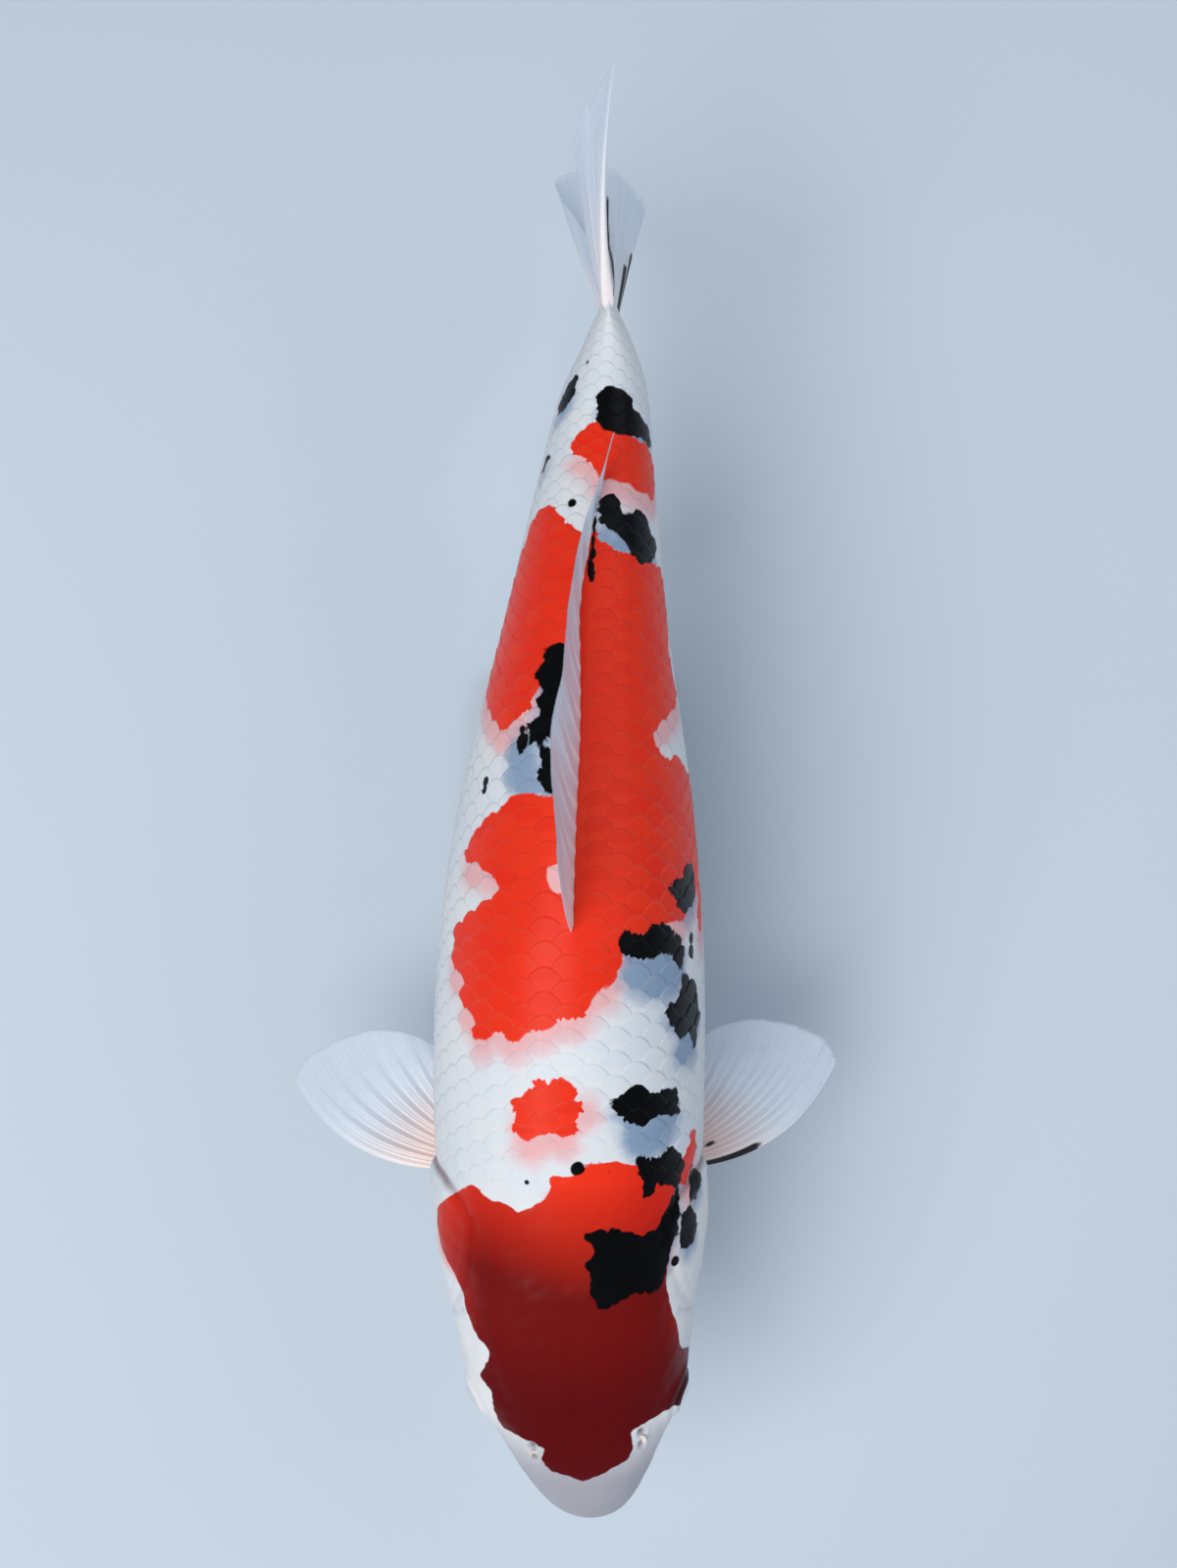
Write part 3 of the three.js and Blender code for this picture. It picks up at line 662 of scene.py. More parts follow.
def grid_mesh(name, columns, rows, copies=1):
    """A mesh of flat grids, with each corner's place across and along them, from 0 to 1."""
    bm = bmesh.new()
    for _ in range(copies):
        bmesh.ops.create_grid(bm, x_segments=columns, y_segments=rows, size=1)
    mesh = mesh_from(bm, name)
    corners = corners_of(mesh).reshape(copies, -1, 3)
    return mesh, (corners[..., 0] + 1) / 2, (corners[..., 1] + 1) / 2


def shape_mesh(mesh, points):
    mesh.vertices.foreach_set("co", np.ascontiguousarray(points, np.float32).ravel())
    mesh.update()


def write_values(mesh, **values):
    """Stores a number at each corner for the materials to read."""
    for name, numbers in values.items():
        made = mesh.attributes.new(name, "FLOAT", "POINT")
        made.data.foreach_set("value", np.ascontiguousarray(numbers, np.float32).ravel())


def write_uv(mesh, name, across, along):
    corner = np.empty(len(mesh.loops), np.int32)
    mesh.loops.foreach_get("vertex_index", corner)
    flat = np.stack([np.ravel(across), np.ravel(along)], -1)[corner]
    mesh.uv_layers.new(name=name).data.foreach_set("uv", np.ascontiguousarray(flat, np.float32).ravel())


def weld(mesh, turn_out=False):
    """Closes seams and poles."""
    bm = bmesh.new()
    bm.from_mesh(mesh)
    bmesh.ops.remove_doubles(bm, verts=bm.verts, dist=1e-6)
    bmesh.ops.dissolve_degenerate(bm, edges=bm.edges, dist=1e-7)
    if turn_out:
        bmesh.ops.recalc_face_normals(bm, faces=bm.faces)
    bm.to_mesh(mesh)
    bm.free()


def show(mesh, slot, material, *nodes):
    """Makes a finished piece of a mesh, standing for these nodes of the frame."""
    mesh.shade_smooth()
    piece = bpy.data.objects.new(mesh.name, mesh)
    bpy.context.scene.collection.objects.link(piece)
    mesh.materials.append(material)
    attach(piece, "root")
    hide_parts(*nodes)
    return piece


# ------------------------------------------------------------------ materials

SMOOTH = {"interpolation_type": "SMOOTHSTEP"}
COLOURED = {"data_type": "RGBA"}
SCALED_SUM = {"operation": "MULTIPLY_ADD"}  # the first input times the second, plus the third
PRODUCT = {"operation": "MULTIPLY"}


def tone(name):
    """The linear colour of a hex value, or of one of the fish's colour settings."""
    value = srgb(name) if name.startswith("#") else getattr(bpy.context.scene.koi_colours, name)
    return (*value, 1.0)


def node(tree, kind, settings):
    """Adds a node. Keys in lower case are the node's own settings. Others are its sockets, by name or number.
    A socket takes a value, the name of a colour or what is linked there: an output, or a node's first one."""
    made = tree.nodes.new(f"ShaderNode{kind}")
    sockets = {}
    for key, value in settings.items():
        if isinstance(key, str) and key[0].islower():
            setattr(made, key, value)
        else:
            sockets[key] = value
    for key, value in sockets.items():
        if isinstance(value, bpy.types.Node):
            value = next(output for output in value.outputs if output.enabled)
        if isinstance(value, bpy.types.NodeSocket):
            tree.links.new(value, made.inputs[key])
        else:
            made.inputs[key].default_value = tone(value) if isinstance(value, str) else value
    return made


def finished(name, paint, *choices):
    """The material of this name. When first wanted, a function is given its tree and the Object place, adds
    its nodes and returns its shader."""
    material = bpy.data.materials.get(name)
    if not material:
        material = bpy.data.materials.new(name)
        material.use_nodes = True
        tree = material.node_tree
        tree.nodes.clear()
        spot = node(tree, "TexCoord", {}).outputs["Object"]
        node(tree, "OutputMaterial", {"is_active_output": True, "Surface": paint(tree, spot, *choices)})
    return material


PAINT_VALUES = ("red", "black", "pink", "slate", "crown", "tint")
SCALE_VALUES = ("rim", "line")
SKIN_VALUES = ("snout", "lip", "brow", "crease")


def pigment(tree, spot, scaled):
    """The fish's colours from the depths stored on its skin and scales: white ground, pink and slate where
    pigment shows through the scale in front, then red and black."""
    # Pigment edges wander by about a millimetre in rounded lobes 4 mm wide, as colonies of skin cells do.
    wander = node(tree, "TexNoise", {"Scale": 300, "Detail": 3, "Vector": spot})
    lobes = node(tree, "TexVoronoi", {"Scale": 240, "Vector": spot})
    lobes = node(tree, "Math", {**SCALED_SUM, 0: lobes, 1: -0.55, 2: 0.52})
    wander = node(tree, "Math", {**SCALED_SUM, 0: wander, 1: 0.5, 2: lobes})
    broad = node(tree, "TexNoise", {"Scale": 28, "Detail": 2, "Vector": spot})
    stored = {
        name: node(tree, "Attribute", {"attribute_name": name}).outputs["Fac"]
        for name in (*PAINT_VALUES, *(SCALE_VALUES if scaled else SKIN_VALUES))
    }
    for name, low, high, reach, most in (
        ("red", -0.3, 0.4, 1.8, 1.0),
        ("black", -0.3, 0.3, 2.2 if scaled else 4.4, 1.0),
        ("pink", -6.0, 4.0, 3.0, 0.75),
        ("slate", -5.0, 4.0, 3.0, 0.8),
    ):
        moved = node(tree, "Math", {**SCALED_SUM, 0: wander, 1: reach, 2: stored[name]})
        limits = {1: low + reach / 2, 2: high + reach / 2, 4: most}
        stored[name] = node(tree, "MapRange", {**SMOOTH, 0: moved, **limits})

    # Single black dots are round, and only faintly ragged.
    for at, girth, radius in BLACK_DOTS:
        centre = in_place(smooth_skin(np.array(float(at)), np.array(girth / half_girth(at))))
        off = node(tree, "VectorMath", {"operation": "DISTANCE", 0: spot, 1: tuple(centre)})
        off = node(tree, "Math", {**SCALED_SUM, 0: wander, 1: 0.0012, 2: off})
        dot = node(tree, "MapRange", {0: off, 1: (radius + 0.8) * MM, 2: (radius + 0.3) * MM})
        stored["black"] = node(tree, "Math", {"operation": "MAXIMUM", 0: stored["black"], 1: dot})

    mixed = node(tree, "Math", {**SCALED_SUM, 0: stored["tint"], 1: 0.7, 2: broad})
    mixed = node(tree, "MapRange", {0: mixed, 1: 0.35, 2: 1.15})
    ground = [(mixed, "pearl"), (stored["pink"], "pink"), (stored["slate"], "slate")]
    patch = [(stored["tint"], "orange"), (stored["crown"], "crimson")]
    if scaled:
        # A scale's free rim is thin, so red pales there and white greys a little.
        place = node(tree, "UVMap", {"uv_map": "Scale"})
        along = node(tree, "SeparateXYZ", {0: place}).outputs["Y"]
        edge = node(tree, "MapRange", {**SMOOTH, 0: along, 1: 0.80, 2: 0.97, 4: 0.12})
        edge = node(tree, "Math", {**PRODUCT, 0: edge, 1: stored["rim"]})
        ground.append((edge, "#b4c2d8"))
        patch.append((edge, "#f2866e"))
    else:
        # Painted shade: the snout greyed with lilac towards its tip. The lips are peach.
        ground += [(stored["snout"], "snout_shade"), (stored["lip"], "peach")]
        # Dark red ring round the eye: partly painted shade under the brow, partly the eye's own dark rim.
        patch.append((stored["brow"], "brow"))
    paints = []
    for paint, layers in (("white", ground), ("red", patch)):
        for share, layer in layers:
            paint = node(tree, "Mix", {**COLOURED, 0: share, 6: paint, 7: layer})
        paints.append(paint)
    whole = node(tree, "Mix", {**COLOURED, 0: stored["red"], 6: paints[0], 7: paints[1]})
    if scaled:
        # The lateral line: on each scale of one row a short grey tube, 2 mm long.
        off = node(tree, "VectorMath", {"operation": "SUBTRACT", 0: place, 1: (0.5, 0.76, 0)})
        off = node(tree, "VectorMath", {**PRODUCT, 0: off, 1: (22, 7.5, 0)})
        off = node(tree, "VectorMath", {"operation": "LENGTH", 0: off})
        tube = node(tree, "MapRange", {0: off, 1: 0.6, 2: 1.1, 3: 0.55, 4: 0.0})
        tube = node(tree, "Math", {**PRODUCT, 0: tube, 1: stored["line"]})
        last = {0: tube, 7: "#5d6a80"}
    else:
        # Painted shade: folds, the gill cover's free edge and the lid's inner side are darkened and reddened,
        # where shadow falls in the hollows.
        last = {"blend_type": "MULTIPLY", 0: stored["crease"], 7: "#8d6570"}
    whole = node(tree, "Mix", {**COLOURED, 6: whole, **last})
    return node(tree, "Mix", {**COLOURED, 0: stored["black"], 6: whole, 7: "black"})


def wet_skin(tree, spot, scaled):
    """Fish skin under a film of slime: soft inside, wet outside. The slime gives small clear highlights, and
    the flesh under thin skin glows a little at edges."""
    # Grain of the skin, 0.7 mm, and on scales the growth rings, drawn at 0.9 mm so that they show.
    height = node(tree, "TexNoise", {"Scale": 1400, "Detail": 2, "Vector": spot})
    if scaled:
        place = node(tree, "UVMap", {"uv_map": "Scale"})
        rings = {"wave_type": "RINGS", "rings_direction": "SPHERICAL", "Scale": 5.5, "Distortion": 0.8}
        rings = node(tree, "TexWave", {**rings, "Vector": place}).outputs["Fac"]
        height = node(tree, "Math", {**SCALED_SUM, 0: rings, 1: 0.3, 2: height})
    patchy = node(tree, "TexNoise", {"Scale": 90, "Detail": 2, "Vector": spot})
    return node(
        tree,
        "BsdfPrincipled",
        {
            "Base Color": pigment(tree, spot, scaled),
            "Roughness": node(tree, "MapRange", {0: patchy, 3: 0.27, 4: 0.42}),
            "Normal": node(tree, "Bump", {"Strength": 0.16, "Distance": 0.0004, "Height": height}),
            "IOR": 1.38,
            "Specular IOR Level": 0.12,
            "Subsurface Weight": 0.1,
            "Subsurface Radius": (1.0, 0.4, 0.25),
            "Subsurface Scale": 0.001,
            "Coat Weight": 0.06,
            "Coat Roughness": 0.16,
            "Coat IOR": 1.36,
        },
    )


def skin_material(scaled):
    name = "Koi scales, cycloid, under slime" if scaled else "Koi skin, bare, under slime"
    return finished(name, wet_skin, scaled)


# ------------------------------------------------------------------ skin

SKIN_COLUMNS = 250
EYE_SHARE = 0.413  # of the half girth, where the eye's middle lies


def skin_rows():
    """Places from snout to stem, closest together on the nose and round the eye."""
    nose = np.linspace(0, math.sqrt(6.2), 18) ** 2
    snout = np.arange(7.0, 48.0, 0.8)
    eye = np.arange(48.0, 69.0, 0.5)
    neck = np.arange(69.0, 169.0, 0.8)
    trunk = np.linspace(170.5, STEM_END, 122)
    return np.concatenate([nose, snout, eye, neck, trunk, (499, 502, 505, SKIN_END)])


def skin_shares():
    """Places round the body, closest together at the height of the eyes."""
    even = np.linspace(-1, 1, 2001)
    closeness = 1 + 1.2 * bump(np.abs(even) - EYE_SHARE, 0.075)
    run = np.concatenate([[0], np.cumsum((closeness[1:] + closeness[:-1]) / 2)])
    return np.interp(np.linspace(0, run[-1], SKIN_COLUMNS + 1), run, even)


FLESH_NODES = ("head", "jaw", "gill_cover_left", "gill_cover_right", "trunk_front", "trunk_rear", "tail_stem")


class KOI_OT_skin(bpy.types.Operator):
    """Builds the one skin of head, trunk and tail stem"""

    bl_idname = "koi.skin"
    bl_label = "Skin"

    def execute(self, context):
        rows = skin_rows()
        mesh, across, along = grid_mesh("skin", SKIN_COLUMNS, len(rows) - 1)
        at = part_way(rows, along[0])
        share = part_way(skin_shares(), across[0])
        points = skin_point(at, share)
        closes = (np.abs(share) > 0.9999) | (at > SKIN_END - 0.01)
        points[closes, 0] = 0
        shape_mesh(mesh, in_place(points))
        girth = share * half_girth(at)
        gap = np.linalg.norm(points[:, None, :] - lip_line(25)[None], axis=2).min(1)
        from_eye = np.linalg.norm(points - eye_frame(1)[0], axis=1)
        # Painted shade: the folds and the step at the gill cover's free edge are darkened.
        folds = soft_step(0.45, 1.9, -relief(points, at, girth))
        inner, free = gill_edge(at, np.abs(girth))
        near_gill = free * bump(inner + 1, 5)
        write_values(
            mesh,
            **marking_depths(at, girth),
            crown=crown_share(at, girth),
            tint=0.35 + 0.15 * ripple(points, 60, 2.0),
            # painted shade over the snout, strongest at its tip
            snout=0.78 * (1 - soft_step(22, 58, at)),
            lip=0.4 * (1 - soft_step(3.5, 8.0, gap)),
            # ring round the eye, partly painted shade under the brow
            brow=0.85 * (1 - soft_step(10, 17, from_eye)),
            crease=0.85 * np.maximum(folds * (1 - near_gill), 0.95 * free * bump(inner + 0.9, 1.5)),
        )
        weld(mesh)
        show(mesh, "skin", skin_material(False), *FLESH_NODES)
        return {"FINISHED"}


# ------------------------------------------------------------------ scales

SCALE_ACROSS = (-1, -0.93, -0.62, -0.31, 0, 0.31, 0.62, 0.93, 1)
SCALE_ALONG = (0, 0.3, 0.55, 0.76, 0.89, 0.965, 1)
SCALE_LENGTH = 1.6  # of the spacing, so that each lies well under the one in front
SCALE_HALF = 0.97  # of the row spacing
RIM_CURVE = 0.92  # how far the rim curves forward to the scale's sides, of the spacing
BAKE_PATCH = 0.003
OWN_TONE = 0.36  # how far one scale keeps one colour
SIDE_ROWS = 24  # more than reach the belly
SCALE_SEED = 11


def spaced(setting, at, shrink, begins, ends):
    """A spacing in millimetres, a little closer on the nape and shrinking towards the tail."""
    full = getattr(bpy.context.scene.koi_sizes, setting) / MM
    return full * (1 - shrink * soft_step(begins, ends, at)) * (0.9 + 0.1 * soft_step(110, 160, at))


def long_spacing(at):
    return spaced("scale_long", at, 0.38, 290, 505)


def row_spacing(at):
    return spaced("scale_wide", at, 0.4, 270, 500)


def lateral_row(tip):
    """The row that carries the lateral line, high on the shoulder and in mid height on the stem."""
    share = 0.42 + 0.08 * soft_step(150, 480, tip)
    return np.round(share * half_girth(tip) / row_spacing(tip))


def scale_places():
    """(at, row, random share) of every scale's rear tip."""
    at = np.linspace(100, 503, 1600)
    steps = 1 / long_spacing(at)
    count = np.concatenate([[0], np.cumsum((steps[1:] + steps[:-1]) / 2 * np.diff(at))])
    chance = np.random.default_rng(SCALE_SEED)
    places = []
    for row in range(-SIDE_ROWS, SIDE_ROWS + 1):
        tips = np.interp(np.arange(int(count[-1])) + 0.5 * (row % 2), count, at)
        for tip in tips:
            girth = row * row_spacing(tip)
            draw = chance.random()
            past_head = behind_scale_line(tip, girth) > 3.5
            on_body = abs(girth) < half_girth(tip) - 0.2 * row_spacing(tip)
            under_fin = row == 0 and DORSAL_FRONT + 4 < tip < DORSAL_REAR + 2
            if past_head and on_body and not under_fin:
                places.append((tip, row, draw))
    return np.array(places)


class KOI_OT_scales(bpy.types.Operator):
    """Builds the scales as two joined meshes, left and right"""

    bl_idname = "koi.scales"
    bl_label = "Scales"

    def execute(self, context):
        rise = context.scene.koi_sizes.scale_rise / MM
        places = scale_places()
        for name, wanted in (("scales_left", places[:, 1] > 0), ("scales_right", places[:, 1] <= 0)):
            chosen = places[wanted]
            tip, row, draw = (chosen[:, i, None] for i in range(3))
            mesh, across, along = grid_mesh(name, len(SCALE_ACROSS) - 1, len(SCALE_ALONG) - 1, len(chosen))
            s = part_way(SCALE_ACROSS, across)
            t = part_way(SCALE_ALONG, along)
            spacing = long_spacing(tip)
            rim = tip - RIM_CURVE * spacing * np.abs(s) ** 2.2 + (draw - 0.5) * 0.5
            root = tip - SCALE_LENGTH * spacing
            at = root + t * (rim - root)
            girth = row * row_spacing(at) + s * SCALE_HALF * row_spacing(tip)
            share = np.clip(girth / half_girth(at), -0.9999, 0.9999)
            back = (at - root) / (tip - root)
            thick_skin = 1 - 0.85 * (1 - soft_step(125, 200, at))
            # Over the back the skin covers the scales more, so their rims show less there.
            bared = 0.5 + 0.5 * soft_step(18, 48, np.abs(girth))
            lift = -0.12 + (rise * back**1.25 + 0.1 * (1 - s**2) * back) * thick_skin * bared
            skirt = (t > 0.99) | (np.abs(s) > 0.99)
            lift = np.where(skirt, lift - 0.5, lift)
            hidden = behind_scale_line(at, girth)
            lift = lift - 2.6 * (1 - soft_step(-1.5, 2.5, hidden))
            shape_mesh(mesh, in_place(skin_point(at, share, lift)))

            middle_at = tip - 0.42 * spacing
            middle = marking_depths(middle_at, row * row_spacing(middle_at))
            own = marking_depths(at, girth)
            depths = {key: OWN_TONE * middle[key] + (1 - OWN_TONE) * own[key] for key in own}
            write_values(
                mesh,
                **depths,
                crown=crown_share(at, girth),
                tint=0.375 + 0.35 * (draw - 0.5) * bared,
                line=(np.abs(row) == lateral_row(tip)) + 0 * at,
                rim=(0.15 + 0.85 * soft_step(130, 220, at)) * bared**1.5,
            )
            write_uv(mesh, "Scale", s * 0.5 + 0.5, t)
            root_share = 0.5 + 0.5 * row * row_spacing(root) / half_girth(root)
            write_uv(
                mesh,
                "OFBake",
                np.clip(root_share, 0.01, 0.99) + (across - 0.5) * BAKE_PATCH,
                root / SKIN_END + (along - 0.5) * BAKE_PATCH,
            )
            show(mesh, "skin", skin_material(True), "trunk_front", "trunk_rear", "tail_stem")
        return {"FINISHED"}


# ------------------------------------------------------------------ fins

DORSAL_FRONT = 250
DORSAL_REAR = 417


def dorsal_root():
    ats = np.linspace(DORSAL_FRONT, DORSAL_REAR, 8)
    return [(0.6 - 3 * float(bump(at - 372, 26)), at, float(station(BACK, at)) - 3) for at in ats]


FINS = {
    # root and rim in fish coordinates. bow: how the first rays bend, and bow_fade: how soon that ends across
    # the fin. thick: depth at the root. frayed and corner: how far the rim is notched and rounded. firm: how
    # much deeper the outer rays are at their root.
    "dorsal_fin": dict(
        root=dorsal_root(),
        rim=((-5, 279, 115), (-7.7, 303, 111), (-8.5, 325, 104), (-5.8, 345, 91), (-6.2, 372, 74),
             (-4.3, 400, 60), (0.4, 419, 53), (6, 441, 47)),
        bow=(0, -4, 3), rays=20, thick=1.5, nodes=("dorsal_fin",),
    ),
    "tail_fin": dict(
        root=((0, 492, 27.5), (0, 492, 14), (0, 492, 1), (0, 492, -12), (0, 492, -25.5)),
        rim=((2.3, 574, 70), (-3, 571, 62), (-8, 567, 51), (-12.6, 560, 37), (-12.6, 552, 25),
             (-9.5, 542, 12), (-9.2, 533, 0.8), (-13.5, 543, -12), (-20, 556, -26), (-23.5, 567, -38),
             (-13.5, 577, -50), (2.5, 579, -58), (14, 571, -63), (18, 564, -65)),
        bow=(-3, 0, 2), bow_fade=2, rays=19, thick=1.9, frayed=0.05, corner=0.0, firm=2.6,
        nodes=("tail_fin_upper", "tail_fin_lower"),
    ),
    "anal_fin": dict(
        root=((0, 377, -40), (0, 398, -35), (0, 418, -29)),
        rim=((1, 414, -89), (2, 423, -80), (2.5, 430, -64), (2.5, 436, -47)),
        bow=(0, -2, -3), rays=8, thick=1.5, nodes=("anal_fin",),
    ),
    "pectoral_fin": dict(
        root=((43, 139, -36), (45, 149, -38), (43, 159, -40)),
        rim=((123, 173, -56), (120, 181.5, -57), (110.5, 189, -56), (98.5, 194.5, -54), (84.5, 197.5, -52),
             (70, 195.5, -50), (58, 190, -48)),
        bow=(7, -11, 3), rays=16, thick=1.8, nodes=("pectoral_fin",),
    ),
    "pelvic_fin": dict(
        root=((27, 243, -55), (20, 249, -59), (13, 254, -61)),
        rim=((44, 296, -80), (40, 304, -86), (32, 306, -89), (23, 301, -90), (17, 291, -88)),
        bow=(3, -2, -2), rays=9, thick=1.5, nodes=("pelvic_fin",),
    ),
}
LEFT_PECTORAL_FOLD = 7.5  # degrees further back than the right one
COLUMNS_PER_RAY = 14
FIN_ROWS = 56


def along_curve(points, share):
    """A smooth curve through points, its knots spread by the root of their distances."""
    points = np.asarray(points, float)
    last = len(points) - 1
    padded = np.vstack([2 * points[0] - points[1], points, 2 * points[-1] - points[-2]])
    place = np.clip(share, 0, 1) * last
    i = np.minimum(place.astype(int), last - 1)
    t = (place - i)[..., None]
    a, b, c, d = (padded[i + k] for k in range(4))
    first, middle, final = (
        np.sqrt(np.maximum(np.linalg.norm(q - p, axis=-1, keepdims=True), 1e-6))
        for p, q in ((a, b), (b, c), (c, d))
    )
    start = ((b - a) / first - (c - a) / (first + middle) + (c - b) / middle) * middle
    end = ((c - b) / middle - (d - b) / (middle + final) + (d - c) / final) * middle
    return b + start * t + (3 * (c - b) - 2 * start - end) * t**2 + (2 * (b - c) + start + end) * t**3


def ray_ridge(across, along, rays):
    """How much of a ray, from 0 to 1, stands at a place of the fin. All rays but the first fork twice."""
    place = across * rays - 0.5
    ray = np.clip(np.round(place), 0, rays - 1)
    starts = 0.36 + 0.08 * np.sin(ray * 2.1)
    off = np.abs(place - ray)
    off = np.abs(off - 0.25 * soft_step(starts, 0.95, along) * (ray > 0))
    off = np.abs(off - 0.125 * soft_step(starts + 0.26, 1.15, along) * (ray > 0))
    width = 0.21 - 0.13 * along + 0.14 * (ray == 0)
    return np.exp(-((off / width) ** 2))


def fin_points(fin, side, across, along, facing):
    """Places in the frame on one face of a fin, and the ridge height there."""
    sizes = bpy.context.scene.koi_sizes
    mirror = np.array((side, 1, 1))
    root = in_place(np.array(fin["root"], float) * mirror) / MM
    rim = in_place(np.array(fin["rim"], float) * mirror) / MM
    rays = fin["rays"]

    def middle(u, v):
        fade = np.clip(1 - u * fin.get("bow_fade", 1), 0, 1)
        bend = np.array(fin["bow"], float) * (side, 1, 1)
        steps = np.modf(np.clip(u, 0, 0.999) * rays / 3)[0]
        frayed = 0.006 * (1 - ray_ridge(u, 1.0, rays)) + fin.get("frayed", 0.008) * steps
        near_corner = np.clip(1 - np.minimum(u, 1 - u) / 0.12, 0, 1)
        frayed = frayed + fin.get("corner", 0.015) * (1 - np.sqrt(1 - near_corner**2))
        reach = v * (1 - frayed * soft_step(0.6, 1, v))
        flat = along_curve(root, u) * (1 - reach[..., None]) + along_curve(rim, u) * reach[..., None]
        return flat + bend * (4 * v * (1 - v) * fade)[..., None]

    small = 0.006
    way_across = middle(np.clip(across + small, 0, 1), np.maximum(along, 0.02))
    way_across = way_across - middle(np.clip(across - small, 0, 1), np.maximum(along, 0.02))
    way_along = middle(across, np.clip(along + small, 0, 1)) - middle(across, np.clip(along - small, 0, 1))
    normal = np.cross(way_across, way_along)
    normal /= np.maximum(np.linalg.norm(normal, axis=-1, keepdims=True), 1e-9)
    ridge = ray_ridge(across, along, rays)
    web, ray = sizes.web / MM, sizes.ray / MM
    half = web / 2 + ray / 2 * ridge * (1 - 0.85 * soft_step(0.2, 0.9, along))
    half = half + (fin["thick"] - web) / 2 * (1 - soft_step(0.0, 0.3, along))
    outer = np.minimum(across, 1 - across)
    half = half + fin.get("firm", 0) / 2 * (1 - soft_step(0.03, 0.11, outer)) * (1 - along) ** 0.5
    sides = np.clip(outer * rays / 0.3, 0, 1)
    ends = np.clip(np.minimum(along / 0.03, (1 - along) / 0.025), 0, 1)
    half = half * np.sqrt(sides * ends)
    pleat = 0.3 * np.sin(across * rays * math.pi) * soft_step(0.05, 0.4, along)
    pleat = pleat * (1 - 0.75 * soft_step(0.45, 0.9, along))
    wave = 1.1 * np.sin(across * 7.5 + along * 2.0) * along**1.5
    spread = soft_step(0, 0.08, across) * soft_step(0, 0.08, 1 - across)
    return (middle(across, along) + normal * (facing * half + (pleat + wave) * spread)[..., None]) * MM, ridge


def fin_mesh(name, fin, side):
    """A closed fin: one grid folded round its leading edge, with both faces ribbed by the rays."""
    columns = fin["rays"] * COLUMNS_PER_RAY * 2
    mesh, round_it, along = grid_mesh(f"{name}_web", columns, FIN_ROWS)
    round_it, along = round_it[0], along[0]
    across = 1 - np.abs(round_it * 2 - 1)
    facing = np.where(round_it <= 0.5, 1.0, -1.0)
    points, ridge = fin_points(fin, side, across, along, facing)
    shape_mesh(mesh, points)
    write_uv(mesh, "Fin", across, along)
    edge = np.minimum(across, 1 - across) if name == "tail_fin" else across
    firm = 0.95 * (1 - soft_step(0.05, 0.17, edge)) * (1 - 0.5 * soft_step(0.6, 1, along))
    write_values(mesh, ray=np.maximum(ridge, firm), streak=fin_streaks(name, across, along))
    weld(mesh, turn_out=True)
    return mesh


FIN_STREAKS = {
    # half width, then places (across, along)
    "pectoral_fin_left": (
        (0.034, ((0.034, 0.1), (0.031, 0.26), (0.03, 0.4))),
        (0.028, ((0.261, 0.195), (0.263, 0.197))),
    ),
    "tail_fin": (
        (0.017, ((0.978, 0.21), (0.974, 0.42), (0.966, 0.58))),
        (0.015, ((0.948, 0.2), (0.943, 0.36), (0.935, 0.48))),
        (0.006, ((0.897, 0.2), (0.85, 0.46), (0.835, 0.54), (0.83, 0.8))),
    ),
}


def fin_streaks(name, across, along):
    dark = np.zeros(across.shape)
    for half, places in FIN_STREAKS.get(name, ()):
        away = distance_to(rounded(places, closed=False), across, along)
        dark = np.maximum(dark, 1 - soft_step(half * 0.75, half * 1.15, away))
    return dark


